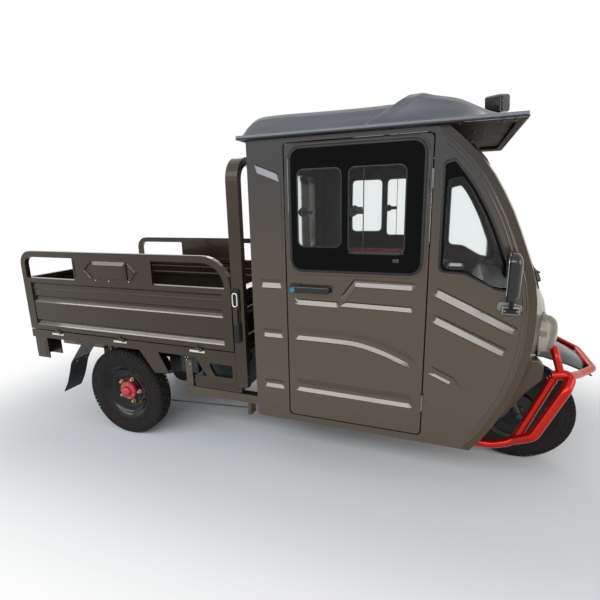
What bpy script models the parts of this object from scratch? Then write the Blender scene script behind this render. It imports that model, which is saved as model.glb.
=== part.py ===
"""Electric cargo tricycle: closed cab in front, drop-sided cargo bed behind, one steered front wheel.

Metres. X points forward, Y to the vehicle's left, Z up. Z = 0 is the ground.
"""

import math

import bmesh
import bpy
from mathutils import Matrix, Vector

# Clearances
SEAT = 0.0003
RUNNING = 0.006

# Overall
HALF_WIDTH = 0.552
REAR_X = -1.672
FRONT_X = 1.6729

# Wheels
TYRE_RADIUS = 0.280
TYRE_WIDTH = 0.106
BEAD_RADIUS = TYRE_RADIUS - 0.117
RIM_HALF_WIDTH = 0.049
REAR_AXLE_X = -0.935
FRONT_AXLE_X = 1.330
REAR_WHEEL_Y = HALF_WIDTH - TYRE_WIDTH / 2
HUB_BORE = 0.0125
FRONT_BORE = 0.0085
WHEEL_FACETS = 24
BRAKE_GAP = 0.072
BRAKE_PLATE_Y = REAR_WHEEL_Y - BRAKE_GAP
ROD_Y = -(BRAKE_PLATE_Y - 0.0095)

# Chassis
LOWER_RAIL_Z = (0.320, 0.370)
LOWER_RAIL_Y = (HALF_WIDTH - 0.105, HALF_WIDTH - 0.055)
KICK_UP_X = (-0.498, -0.453)
RAIL_LAP = 0.003
UPPER_RAIL_Z = (TYRE_RADIUS + 0.190, TYRE_RADIUS + 0.250)
UPPER_RAIL_Y = (HALF_WIDTH - 0.242, HALF_WIDTH - 0.202)
FRONT_CROSS_X = (0.905, 0.950)
FLOOR_CROSS = 0.045
BED_CROSS = 0.040
ROD_END_X = -0.110

# Cargo bed
SILL_Z = (0.583, 0.635)
SILL_DEPTH = 0.050
BED_FRONT_X = -0.1243
POST_X = (-0.124, -0.056)
POST_WIDTH = 0.040
POST_FOOT_Z = 0.437
HEADBOARD_TOP_Z = 1.650
HEADBOARD_BEND = 0.120
GATE_BOTTOM_Z = 0.641
GATE_TOP_Z = 0.985
RAIL_TOP_Z = 1.157
RAIL_SIZE = 0.037
GATE_THICK = 0.030
REAR_BEND = 0.090
FRONT_BEND = 0.170
GATE_HINGE_Z = 0.6375
GATE_HINGE_OUT = 0.0062
GATE_HINGE_RADIUS = 0.0058
LEAF_LAP = 0.0007
GATE_HINGE_XS = (-1.433, -0.917, -0.366)
TAIL_HINGE_YS = (-(HALF_WIDTH - 0.212), HALF_WIDTH - 0.212)
LAMP_FACE_X = -1.650
FLOOR_HALF = HALF_WIDTH - GATE_THICK - 0.008

# Cab
CAB_BOTTOM_Z = 0.295
CAB_TOP_Z = 1.710
WALL = 0.034
FLANGE = 0.030
FLOOR_THICK = 0.010
DOOR_X = (0.193, 0.851)
DOOR_Z = (0.335, 1.682)
DOOR_HINGE_RADIUS = 0.0065
DOOR_HINGE_ZS = (0.502, 1.505)
DOOR_HINGE_LENGTH = 0.080
DOOR_WINDOW_X = (0.216, 0.826)
DOOR_WINDOW_Z = (1.098, 1.664)
GLASS = 0.006
GLASS_INSET = 0.004
REAR_WINDOW_HALF = HALF_WIDTH - 0.192
REAR_WINDOW_Z = (1.120, 1.580)
SHELF_Z = 0.760
SEAT_Z = 0.690
SEAM_LEVELS = 21
ROOF_HALF = HALF_WIDTH + 0.022
GUTTER_HEIGHT = 0.020
LAMP_PAD_Z = 1.812
LAMP_Y = HALF_WIDTH - 0.167
LAMP_Z = 0.832
LAMP_HALF_WIDTH = 0.082
LAMP_HALF_HEIGHT = 0.094
LAMP_FACETS = 20

# Steering
RAKE = math.radians(25)
TRAIL_X = 0.030
FORK_HALF = 0.085
LEG_RADIUS = 0.016
STEM_RADIUS = 0.0175
HEAD_RADIUS = 0.030
BAR_HALF = 0.300
BAR_RADIUS = 0.011

# Front bumper
BUMPER_TUBE = 0.019

# Side seam of the cab front, from the sill to the roof: (height, x)
SIDE_SEAM = (
    (0.295, 1.035),
    (0.370, 1.090),
    (0.470, 1.145),
    (0.610, 1.205),
    (0.780, 1.246),
    (0.950, 1.254),
    (1.085, 1.237),
    (1.220, 1.191),
    (1.390, 1.119),
    (1.560, 1.014),
    (1.710, 0.862),
)

# How far the middle of the cab front stands ahead of its side seams: (height, bulge)
NOSE_BULGE = (
    (0.295, 0.060),
    (0.600, 0.105),
    (0.800, 0.120),
    (0.900, 0.112),
    (0.980, 0.080),
    (1.040, 0.058),
    (1.710, 0.052),
)

# Roof moulding: (x, how far its foot and its shoulder stand in from the gutter, height of its top)
ROOF_SECTIONS = (
    (-0.040, 0.034, 0.074, 1.738),
    (-0.012, 0.039, 0.104, 1.800),
    (0.050, 0.039, 0.119, 1.832),
    (0.560, 0.039, 0.124, 1.830),
    (0.640, 0.035, 0.116, 1.832),
    (0.700, 0.024, 0.099, 1.842),
    (0.770, 0.018, 0.089, 1.852),
    (0.900, 0.016, 0.092, 1.842),
    (1.000, 0.016, 0.099, 1.815),
    (1.100, 0.018, 0.099, 1.775),
    (1.183, 0.022, 0.084, 1.740),
)

# Front mudguard: (x, height, half width)
MUDGUARD_SECTIONS = (
    (1.190, 0.700, 0.170),
    (1.400, 0.688, 0.190),
    (1.500, 0.662, 0.190),
    (1.575, 0.628, 0.165),
    (1.625, 0.590, 0.120),
)

COLLECTION = bpy.data.collections.new("electric_cargo_tricycle")
TOOLS = bpy.data.collections.new("cutters")
PAINTS = {}


def clear_scene():
    for obj in list(bpy.data.objects):
        bpy.data.objects.remove(obj, do_unlink=True)
    bpy.context.scene.collection.children.link(COLLECTION)
    bpy.context.scene.collection.children.link(TOOLS)


def paint(name, colour, roughness, metallic=0.0, alpha=1.0):
    """One Principled material for each finish; colour is 0 to 255 sRGB."""
    made = bpy.data.materials.new(name)
    made.use_nodes = True
    shader = made.node_tree.nodes["Principled BSDF"]
    linear = [(part / 255) ** 2.2 for part in colour]
    shader.inputs["Base Color"].default_value = (*linear, 1.0)
    shader.inputs["Roughness"].default_value = roughness
    shader.inputs["Metallic"].default_value = metallic
    shader.inputs["Alpha"].default_value = alpha
    made.diffuse_color = (*linear, alpha)
    PAINTS[name] = made


def mix_paints():
    paint("bronze_paint", (92, 82, 72), 0.35, 0.4)
    paint("bumper_red", (176, 36, 28), 0.30)
    paint("black_paint", (26, 26, 27), 0.45)
    paint("black_plastic", (30, 30, 31), 0.55)
    paint("tyre_rubber", (32, 32, 33), 0.85)
    paint("cap_red", (200, 32, 44), 0.35)
    paint("tinted_glass", (40, 46, 48), 0.05, 0.0, 0.45)
    paint("clear_lens", (225, 230, 232), 0.08, 0.0, 0.6)
    paint("lamp_red", (150, 20, 20), 0.2)
    paint("seat_vinyl", (34, 33, 34), 0.6)
    paint("battery_case", (38, 74, 78), 0.5)
    paint("rod_steel", (190, 170, 140), 0.4, 0.9)
    paint("mudguard_grey", (88, 92, 96), 0.4)


def smooth(table, at):
    """Value of a two-column table at a height, by a cubic through its rows."""
    rows = len(table)
    if at <= table[0][0]:
        return table[0][1]
    if at >= table[-1][0]:
        return table[-1][1]
    row = max(i for i in range(rows - 1) if table[i][0] <= at)

    def slope(i):
        low = max(i - 1, 0)
        high = min(i + 1, rows - 1)
        return (table[high][1] - table[low][1]) / (table[high][0] - table[low][0])

    span = table[row + 1][0] - table[row][0]
    t = (at - table[row][0]) / span
    a = (1 + 2 * t) * (1 - t) ** 2
    b = t * (1 - t) ** 2 * span
    c = t * t * (3 - 2 * t)
    d = t * t * (t - 1) * span
    return a * table[row][1] + b * slope(row) + c * table[row + 1][1] + d * slope(row + 1)


def steps(first, last, count):
    return [first + (last - first) * i / (count - 1) for i in range(count)]


def tidy(mesh, weld=0.00001):
    """Welds a mesh and turns its faces outward."""
    work = bmesh.new()
    work.from_mesh(mesh)
    bmesh.ops.remove_doubles(work, verts=work.verts, dist=weld)
    bmesh.ops.recalc_face_normals(work, faces=work.faces)
    work.to_mesh(mesh)
    work.free()


def link(name, mesh):
    obj = bpy.data.objects.new(name, mesh)
    COLLECTION.objects.link(obj)
    return obj


def baked(obj):
    """The evaluated object as a plain mesh object, in place of the first one."""
    bpy.context.view_layer.update()
    graph = bpy.context.evaluated_depsgraph_get()
    mesh = bpy.data.meshes.new_from_object(obj.evaluated_get(graph))
    placed = obj.matrix_world.copy()
    name = obj.name
    bpy.data.objects.remove(obj, do_unlink=True)
    tidy(mesh)
    made = link(name, mesh)
    made.matrix_world = placed
    return made


def from_work(name, work):
    mesh = bpy.data.meshes.new(name)
    work.to_mesh(mesh)
    work.free()
    tidy(mesh)
    return link(name, mesh)


def box(name, xs, ys, zs):
    """A block between two x, two y and two z values."""
    work = bmesh.new()
    bmesh.ops.create_cube(work, size=1.0)
    size = (abs(xs[1] - xs[0]), abs(ys[1] - ys[0]), abs(zs[1] - zs[0]))
    bmesh.ops.scale(work, vec=size, verts=work.verts)
    made = from_work(name, work)
    made.location = (sum(xs) / 2, sum(ys) / 2, sum(zs) / 2)
    return made


def rod(name, start, end, radius, facets=16):
    """A cylinder between two points."""
    start = Vector(start)
    end = Vector(end)
    work = bmesh.new()
    bmesh.ops.create_cone(
        work,
        cap_ends=True,
        segments=facets,
        radius1=radius,
        radius2=radius,
        depth=(end - start).length,
    )
    made = from_work(name, work)
    turn = Vector((0, 0, 1)).rotation_difference(end - start)
    made.matrix_world = Matrix.Translation((start + end) / 2) @ turn.to_matrix().to_4x4()
    return made


def rounded(corners, facets=6):
    """An outline with an arc at each corner; corners are (u, v) or (u, v, radius)."""
    points = []
    count = len(corners)
    for i, corner in enumerate(corners):
        here = Vector(corner[:2])
        if len(corner) == 2:
            points.append(tuple(here))
            continue
        before = (Vector(corners[i - 1][:2]) - here).normalized()
        after = (Vector(corners[(i + 1) % count][:2]) - here).normalized()
        half = before.angle(after) / 2
        reach = corner[2] / math.tan(half)
        centre = here + (before + after).normalized() * corner[2] / math.sin(half)
        first = here + before * reach - centre
        last = here + after * reach - centre
        for t in steps(0.0, 1.0, facets + 1):
            points.append(tuple(centre + slerp(first, last, t)))
    return points


def slerp(first, last, t):
    angle = first.angle(last)
    part = math.sin((1 - t) * angle) * first + math.sin(t * angle) * last
    return part / math.sin(angle)


def oblong(us, vs, radius, facets=5):
    """A rectangle outline with equal round corners."""
    corners = [(us[0], vs[0]), (us[1], vs[0]), (us[1], vs[1]), (us[0], vs[1])]
    return rounded([(*corner, radius) for corner in corners], facets)


def slab(name, outline, span, across, holes=()):
    """A flat outline given thickness across X, Y or Z, between the two values of span."""
    curve = bpy.data.curves.new(name, "CURVE")
    curve.dimensions = "2D"
    curve.fill_mode = "BOTH"
    curve.extrude = abs(span[1] - span[0]) / 2
    for ring in (outline, *holes):
        line = curve.splines.new("POLY")
        line.points.add(len(ring) - 1)
        line.use_cyclic_u = True
        for point, (u, v) in zip(line.points, ring):
            point.co = (u, v, 0, 1)
    made = link(name, curve)
    middle = (span[0] + span[1]) / 2
    turns = {
        "X": Matrix(((0, 0, 1, middle), (1, 0, 0, 0), (0, 1, 0, 0), (0, 0, 0, 1))),
        "Y": Matrix(((1, 0, 0, 0), (0, 0, -1, middle), (0, 1, 0, 0), (0, 0, 0, 1))),
        "Z": Matrix(((1, 0, 0, 0), (0, 1, 0, 0), (0, 0, 1, middle), (0, 0, 0, 1))),
    }
    made.matrix_world = turns[across]
    return baked(made)


def filleted(points, radius, facets=6):
    """A 3D path with an arc at each inner corner."""
    points = [Vector(point) for point in points]
    path = [points[0]]
    for before, here, after in zip(points, points[1:], points[2:]):
        back = (before - here).normalized()
        ahead = (after - here).normalized()
        half = back.angle(ahead) / 2
        reach = min(radius / math.tan(half), (before - here).length * 0.49)
        reach = min(reach, (after - here).length * 0.49)
        centre = here + (back + ahead).normalized() * reach / math.cos(half)
        first = here + back * reach - centre
        last = here + ahead * reach - centre
        path += [centre + slerp(first, last, t) for t in steps(0.0, 1.0, facets + 1)]
    path.append(points[-1])
    return path


def tube(name, path, radius, closed=False, resolution=2):
    """A round tube along a path."""
    curve = bpy.data.curves.new(name, "CURVE")
    curve.dimensions = "3D"
    curve.bevel_depth = radius
    curve.bevel_resolution = resolution
    curve.use_fill_caps = True
    line = curve.splines.new("POLY")
    line.points.add(len(path) - 1)
    line.use_cyclic_u = closed
    for point, place in zip(line.points, path):
        point.co = (*place, 1)
    return baked(link(name, curve))


def turned(name, profile, facets, closed=False):
    """A solid turned about the Y axis from (radius, y) points."""
    work = bmesh.new()
    row = [work.verts.new((radius, 0, -along)) for radius, along in profile]
    for first, second in zip(row, row[1:]):
        work.edges.new((first, second))
    if closed:
        work.edges.new((row[-1], row[0]))
    mesh = bpy.data.meshes.new(name)
    work.to_mesh(mesh)
    work.free()
    made = link(name, mesh)
    screw = made.modifiers.new("turn", "SCREW")
    screw.steps = facets
    screw.render_steps = facets
    screw.use_merge_vertices = True
    screw.merge_threshold = 0.00001
    made.rotation_euler = (math.radians(90), 0, 0)
    return baked(made)


def loft(name, rings):
    """A closed solid through rings of equally many points."""
    work = bmesh.new()
    rows = [[work.verts.new(point) for point in ring] for ring in rings]
    count = len(rows[0])
    for low, high in zip(rows, rows[1:]):
        for i in range(count):
            j = (i + 1) % count
            work.faces.new((low[i], low[j], high[j], high[i]))
    work.faces.new(rows[0])
    work.faces.new(list(reversed(rows[-1])))
    return from_work(name, work)


def combine(target, others, operation):
    for other in others:
        modifier = target.modifiers.new(operation.lower(), "BOOLEAN")
        modifier.operation = operation
        modifier.object = other
        modifier.solver = "EXACT"
        other.hide_render = True
        other.display_type = "WIRE"
        COLLECTION.objects.unlink(other)
        TOOLS.objects.link(other)
    return target


def fuse(target, *others):
    return combine(target, others, "UNION")


def carve(target, *others):
    return combine(target, others, "DIFFERENCE")


def overlap(target, *others):
    return combine(target, others, "INTERSECT")


def finish(obj, colour, smooth_angle=0.0, rides_on=None):
    """Gives a piece its paint, its shading and what carries it."""
    obj.data.materials.clear()
    obj.data.materials.append(PAINTS[colour])
    if smooth_angle:
        obj.data.shade_smooth()
        obj.data.set_sharp_from_angle(angle=math.radians(smooth_angle))
    if rides_on:
        obj.parent = rides_on
        obj.matrix_parent_inverse = rides_on.matrix_world.inverted()
    return obj


def pivot(name, place):
    """An empty on a joint's axis."""
    empty = bpy.data.objects.new(name, None)
    empty.empty_display_size = 0.1
    empty.location = place
    COLLECTION.objects.link(empty)
    bpy.context.view_layer.update()
    return empty


def sided(side, first, second):
    """Two y values on one side, in rising order."""
    return tuple(sorted((side * first, side * second)))


def word(side):
    return "left" if side > 0 else "right"


def axis_point(along):
    """A point on the steering axis, a distance up from the height of the axle."""
    return Vector(
        (
            FRONT_AXLE_X - TRAIL_X - along * math.sin(RAKE),
            0.0,
            TYRE_RADIUS + along * math.cos(RAKE),
        )
    )


def groove(name, stations, side, depth=0.007, proud=0.004):
    """Cutter for a pressed V groove; stations are (x, top z, valley z, bottom z)."""
    rings = []
    for i, (x, top, valley, bottom) in enumerate(stations):
        deep = depth if 0 < i < len(stations) - 1 else -proud / 2
        face = side * HALF_WIDTH
        out = side * proud
        grow = proud / depth
        ring = [
            (x, face + out, top + (top - valley) * grow),
            (x, face - side * deep, valley),
            (x, face + out, bottom - (valley - bottom) * grow),
        ]
        rings.append(ring)
    return loft(name, rings)


# Chassis, axle and springs


def chassis_frame():
    """Low rails under the cab, a step up to the bed rails, and the steering head."""
    lap = RAIL_LAP
    low_z = (LOWER_RAIL_Z[0] + lap, LOWER_RAIL_Z[1] - lap)
    frame = box(
        "chassis_frame",
        (KICK_UP_X[0] + lap, KICK_UP_X[1] - lap),
        (-LOWER_RAIL_Y[0] - lap, LOWER_RAIL_Y[0] + lap),
        (UPPER_RAIL_Z[1] - 0.035, UPPER_RAIL_Z[1] - lap),
    )
    pieces = []
    for side in (-1, 1):
        low_y = sided(side, *LOWER_RAIL_Y)
        high_y = sided(side, *UPPER_RAIL_Y)
        post_y = sided(side, LOWER_RAIL_Y[0] + lap, LOWER_RAIL_Y[1] - lap)
        post_z = (low_z[0], UPPER_RAIL_Z[1] + lap)
        pieces.append(box("lower_rail", (KICK_UP_X[0] + lap, FRONT_CROSS_X[1]), low_y, LOWER_RAIL_Z))
        pieces.append(box("kick_up_post", KICK_UP_X, post_y, post_z))
        pieces.append(box("upper_rail", (REAR_X + 0.02, KICK_UP_X[1] + lap), high_y, UPPER_RAIL_Z))
        neck = axis_point(0.425) + Vector((0, side * 0.012, 0))
        foot = (FRONT_CROSS_X[0] + 0.03, side * 0.150, LOWER_RAIL_Z[1] - 0.02)
        pieces.append(rod("down_tube", foot, neck, 0.018, 12))
    cross_y = (-LOWER_RAIL_Y[0] - lap, LOWER_RAIL_Y[0] + lap)
    high_y = (-UPPER_RAIL_Y[0] - lap, UPPER_RAIL_Y[0] + lap)
    for x in (KICK_UP_X[0] + 0.010, 0.150, 0.530, FRONT_CROSS_X[0]):
        pieces.append(box("floor_cross", (x - lap, x + FLOOR_CROSS - lap), cross_y, low_z))
    for x in (-1.640, -1.420, -0.660):
        cross_z = (UPPER_RAIL_Z[0] + 0.010, UPPER_RAIL_Z[1] - 0.005)
        pieces.append(box("bed_cross", (x, x + BED_CROSS), high_y, cross_z))
    pieces.append(rod("head", axis_point(0.365), axis_point(0.520), HEAD_RADIUS, 20))
    hanger_y = (-LOWER_RAIL_Y[0] - 0.020, ROD_Y + 0.010)
    pieces.append(box("rod_hanger", (ROD_END_X, ROD_END_X + 0.020), hanger_y, (0.228, low_z[0] + 0.01)))
    fuse(frame, *pieces)
    carve(frame, rod("head_bore", axis_point(0.30), axis_point(0.60), STEM_RADIUS + SEAT, 20))
    return finish(frame, "bronze_paint")


def rear_axle():
    """Axle tube with its reduction gear, the drive motor bolted to it and the brake pull rod."""
    x = REAR_AXLE_X
    z = TYRE_RADIUS
    y = BRAKE_PLATE_Y
    axle = rod("rear_axle", (x, -y, z), (x, y, z), 0.028, 20)
    pieces = []
    for side in (-1, 1):
        outer = side * (y + 0.006)
        inner = side * (y - 0.004)
        pieces.append(rod("brake_plate", (x, inner, z), (x, outer, z), 0.110, 24))
        tip = side * (REAR_WHEEL_Y + 0.004)
        pieces.append(rod("half_shaft", (x, 0, z), (x, tip, z), HUB_BORE - SEAT, WHEEL_FACETS))
        lever_y = sided(side, y - 0.016, y - 0.003)
        pieces.append(box("brake_lever", (x - 0.012, x + 0.012), lever_y, (0.175, 0.270)))
    pieces.append(rod("gear_case", (x, 0.005, z), (x, 0.115, z), 0.088, 24))
    motor_x = x + 0.135
    motor_z = z + 0.010
    pieces.append(rod("motor", (motor_x, -0.150, motor_z), (motor_x, 0.105, motor_z), 0.082, 24))
    pieces.append(rod("pull_rod", (x, ROD_Y, 0.188), (ROD_END_X - SEAT, ROD_Y, 0.245), 0.004, 8))
    return finish(fuse(axle, *pieces), "black_paint", 40)


def leaf_spring(side):
    """A three-leaf spring under each bed rail, with its hangers."""
    across = sided(side, UPPER_RAIL_Y[0] + 0.003, UPPER_RAIL_Y[1] - 0.003)
    seat_z = TYRE_RADIUS + 0.028 + SEAT
    outline = []
    reach = 0.330
    eye_z = TYRE_RADIUS + 0.135
    thick = 0.010
    for t in steps(-1.0, 1.0, 15):
        outline.append((REAR_AXLE_X + t * reach, seat_z + 2 * thick + (eye_z - seat_z - thick) * t * t))
    for half in (1.0, 0.66, 0.33):
        drop = thick * {1.0: 2, 0.66: 1, 0.33: 0}[half]
        if half == 1.0:
            outline.append((REAR_AXLE_X + reach, outline[-1][1] - thick))
        high = seat_z + drop + (eye_z - seat_z - thick) * half * half * 0.97
        if half < 1.0:
            outline.append((REAR_AXLE_X + half * reach, high + thick))
            outline.append((REAR_AXLE_X + half * reach, high))
    mirrored = [(2 * REAR_AXLE_X - u, v) for u, v in reversed(outline[15:])]
    spring = slab("leaf_spring_" + word(side), outline + mirrored, across, "Y")
    for end in (-1, 1):
        x = REAR_AXLE_X + end * reach
        eye = rod("eye", (x, across[0], eye_z + 0.012), (x, across[1], eye_z + 0.012), 0.020, 16)
        hanger = box("hanger", (x - 0.018, x + 0.018), across, (eye_z + 0.012, UPPER_RAIL_Z[0] - SEAT))
        fuse(spring, eye, hanger)
    return finish(spring, "bronze_paint")


def battery_pack():
    """Battery case lying across the low rails under the front of the bed."""
    half = LOWER_RAIL_Y[0] + 0.023
    case = box("battery_pack", (-0.400, -0.135), (-half, half), (LOWER_RAIL_Z[1] + SEAT, 0.528))
    return finish(case, "battery_case")


def controller_box():
    """Finned controller on the outer face of the right bed rail."""
    outer = -(UPPER_RAIL_Y[1] + SEAT)
    case = box("controller_box", (-0.660, -0.512), (outer - 0.078, outer), (0.415, 0.565))
    fins = []
    for x in steps(-0.650, -0.590, 4):
        fins.append(box("fin", (x, x + 0.009), (outer - 0.090, outer - 0.077), (0.425, 0.555)))
    return finish(fuse(case, *fins), "battery_case")


# Cargo bed


def bed_frame():
    """Side sills and bearers with the boxed rear corners, side brackets and wheel guards."""
    sill_y = (HALF_WIDTH - SILL_DEPTH, HALF_WIDTH)
    inner_y = (-HALF_WIDTH + 0.01, HALF_WIDTH - 0.01)
    frame = box("bed_frame", (REAR_X, REAR_X + 0.050), (-HALF_WIDTH, HALF_WIDTH), SILL_Z)
    pieces = []
    for side in (-1, 1):
        pieces.append(box("side_sill", (REAR_X, BED_FRONT_X), sided(side, *sill_y), SILL_Z))
        bearer_y = sided(side, *UPPER_RAIL_Y)
        bearer_z = (UPPER_RAIL_Z[1] + SEAT, SILL_Z[1])
        pieces.append(box("bearer", (REAR_X, BED_FRONT_X), bearer_y, bearer_z))
        corner_y = sided(side, HALF_WIDTH - 0.100, HALF_WIDTH)
        corner = box("lamp_corner", (LAMP_FACE_X, -1.545), corner_y, (0.442, SILL_Z[0] + 0.01))
        hollow_y = sided(side, HALF_WIDTH - 0.092, HALF_WIDTH - 0.008)
        hollow = box("corner_hollow", (LAMP_FACE_X + 0.010, -1.530), hollow_y, (0.430, SILL_Z[0] - 0.008))
        pieces.append(carve(corner, hollow))
        pieces.append(side_bracket(side))
        pieces += wheel_guard(side)
    for x in (-1.280, -0.920, -0.560):
        pieces.append(box("bed_cross", (x, x + BED_CROSS), inner_y, (0.590, SILL_Z[1])))
    pieces.append(box("front_cross", (BED_FRONT_X - BED_CROSS, BED_FRONT_X), inner_y, SILL_Z))
    fuse(frame, *pieces)
    for side in (-1, 1):
        for x in GATE_HINGE_XS:
            fuse(frame, gate_knuckle("sill_knuckle", x, side, 1))
    for y in TAIL_HINGE_YS:
        fuse(frame, tail_knuckle("tail_sill_knuckle", y, 1))
    return finish(frame, "bronze_paint")


def side_bracket(side):
    """Pressed side bracket with its slanted cut-out, between the sill and the hoop's foot."""
    top = SILL_Z[0] + 0.010
    front = BED_FRONT_X - 0.001
    outline = [(-0.393, top), (-0.292, 0.444), (front, 0.444), (front, top)]
    corners = ((-0.300, 0.556), (-0.262, 0.482), (-0.147, 0.482), (-0.147, 0.556))
    window = rounded([(*corner, 0.01) for corner in corners], 3)
    span = sided(side, HALF_WIDTH - 0.022, HALF_WIDTH - 0.001)
    return slab("side_bracket", outline, span, "Y", (window,))


def wheel_guard(side):
    """Outer plate and slanted sheet ahead of the rear wheel."""
    top = SILL_Z[0] + 0.010
    plate = [(-0.787, top), (-0.650, top), (-0.577, 0.456), (-0.680, 0.448)]
    outer = sided(side, HALF_WIDTH - 0.007, HALF_WIDTH - 0.001)
    sheet = [(-0.786, top), (-0.779, top), (-0.673, 0.4485), (-0.6795, 0.4485)]
    inner = sided(side, HALF_WIDTH - 0.150, HALF_WIDTH - 0.002)
    return [slab("guard_plate", plate, outer, "Y"), slab("guard_sheet", sheet, inner, "Y")]


def gate_knuckle(name, x, side, part):
    """One knuckle of a gate hinge: part 0 is the gate's, part 1 is the sill's ahead of it."""
    length = 0.024
    start = x - length / 2 + part * (length + SEAT)
    end = start + length
    y = side * (HALF_WIDTH + GATE_HINGE_OUT)
    barrel = rod(name, (start, y, GATE_HINGE_Z), (end, y, GATE_HINGE_Z), GATE_HINGE_RADIUS, 8)
    inner = sided(side, HALF_WIDTH - 0.004, HALF_WIDTH + GATE_HINGE_OUT - LEAF_LAP)
    zs = (GATE_HINGE_Z - 0.018, GATE_HINGE_Z - 0.001)
    if part == 0:
        zs = (GATE_HINGE_Z + 0.001, GATE_HINGE_Z + 0.018)
    return fuse(barrel, box(name + "_leaf", (start + LEAF_LAP, end - LEAF_LAP), inner, zs))


def tail_knuckle(name, y, part):
    length = 0.024
    start = y - length / 2 + part * (length + SEAT)
    x = REAR_X - GATE_HINGE_OUT
    end = start + length
    barrel = rod(name, (x, start, GATE_HINGE_Z), (x, end, GATE_HINGE_Z), GATE_HINGE_RADIUS, 8)
    zs = (GATE_HINGE_Z - 0.018, GATE_HINGE_Z - 0.001)
    if part == 0:
        zs = (GATE_HINGE_Z + 0.001, GATE_HINGE_Z + 0.018)
    leaf = box(name + "_leaf", (x + LEAF_LAP, REAR_X + 0.004), (start + LEAF_LAP, end - LEAF_LAP), zs)
    return fuse(barrel, leaf)


def bed_floor():
    """Corrugated floor sheet lying on the bearers."""
    base = SILL_Z[1] + SEAT
    thick = 0.003
    rise = base + 0.006
    ribs = 7
    pitch = 2 * FLOOR_HALF / ribs
    low = []
    for i in range(ribs):
        y = -FLOOR_HALF + i * pitch
        low += [(y, base), (y + pitch * 0.55, base), (y + pitch * 0.65, rise), (y + pitch * 0.9, rise)]
    low.append((FLOOR_HALF, base))
    high = [(y, z + thick) for y, z in reversed(low)]
    sheet = slab("bed_floor", low + high, (REAR_X + 0.040, BED_FRONT_X - 0.004), "X")
    return finish(sheet, "black_paint")


def panel_profile(outer, thick):
    """Section of a pressed gate panel, from its top down: (depth from the outer face, height)."""
    shape = (
        (0.001, GATE_TOP_Z - 0.024),
        (0.001, GATE_TOP_Z - 0.029),
        (0.011, GATE_TOP_Z - 0.040),
        (0.011, 0.924),
        (0.006, 0.918),
        (0.011, 0.912),
        (0.011, 0.868),
        (0.017, 0.861),
        (0.017, 0.846),
        (0.004, 0.824),
        (0.004, 0.708),
        (0.014, 0.700),
        (0.014, 0.692),
        (0.001, 0.669),
        (0.001, 0.664),
    )
    front = [(outer(depth), z) for depth, z in shape]
    back = [(outer(depth + thick), z) for depth, z in reversed(shape)]
    return front + back


def side_gate(side):
    """Drop side: pressed panel in a tube frame, with the rail hoop and its stamped plate."""
    face = side * HALF_WIDTH
    span = sided(side, HALF_WIDTH - GATE_THICK, HALF_WIDTH)
    front_x = BED_FRONT_X - RUNNING
    frame_outline = rounded(
        [
            (REAR_X, GATE_BOTTOM_Z),
            (front_x, GATE_BOTTOM_Z),
            (front_x, RAIL_TOP_Z, FRONT_BEND),
            (REAR_X, RAIL_TOP_Z, REAR_BEND),
        ],
        8,
    )
    plate_x = (-1.222, -0.631)
    left_hole = rounded(
        [
            (REAR_X + RAIL_SIZE, GATE_TOP_Z),
            (plate_x[0], GATE_TOP_Z),
            (plate_x[0], RAIL_TOP_Z - RAIL_SIZE),
            (REAR_X + RAIL_SIZE, RAIL_TOP_Z - RAIL_SIZE, REAR_BEND - RAIL_SIZE),
        ],
        8,
    )
    right_hole = rounded(
        [
            (plate_x[1], GATE_TOP_Z),
            (front_x - RAIL_SIZE, GATE_TOP_Z),
            (front_x - RAIL_SIZE, RAIL_TOP_Z - RAIL_SIZE, FRONT_BEND - RAIL_SIZE),
            (plate_x[1], RAIL_TOP_Z - RAIL_SIZE),
        ],
        8,
    )
    field_x = (REAR_X + 0.062, front_x - 0.056)
    field = [
        (field_x[0], 0.668),
        (field_x[1], 0.668),
        (field_x[1], GATE_TOP_Z - 0.028),
        (field_x[0], GATE_TOP_Z - 0.028),
    ]
    gate = slab("gate_" + word(side), frame_outline, span, "Y", (left_hole, right_hole, field))
    profile = panel_profile(lambda depth: face - side * depth, 0.006)
    pressed = slab("pressed_panel", profile, (field_x[0] - 0.004, field_x[1] + 0.004), "X")
    gate = fuse(gate, pressed)
    plate_z = (GATE_TOP_Z - 0.001, RAIL_TOP_Z - RAIL_SIZE + 0.001)
    for low, high in ((plate_x[0] + 0.012, -1.075), (-1.045, -0.800), (-0.770, plate_x[1] - 0.012)):
        sunk = slab(
            "plate_recess",
            oblong((low, high), (plate_z[0] + 0.016, plate_z[1] - 0.014), 0.010, 3),
            sided(side, HALF_WIDTH - 0.007, HALF_WIDTH + 0.010),
            "Y",
        )
        carve(gate, sunk)
    carve(
        gate,
        box(
            "plate_back",
            (plate_x[0] - 0.001, plate_x[1] + 0.001),
            sided(side, HALF_WIDTH - 0.014, HALF_WIDTH - GATE_THICK - 0.004),
            (GATE_TOP_Z + 0.002, RAIL_TOP_Z - RAIL_SIZE - 0.002),
        ),
    )
    for x in GATE_HINGE_XS:
        fuse(gate, gate_knuckle("gate_hinge", x, side, 0))
    hinge = pivot("gate_axis_" + word(side), (0, side * (HALF_WIDTH + GATE_HINGE_OUT), GATE_HINGE_Z))
    return finish(gate, "bronze_paint", 0, hinge)


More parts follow.
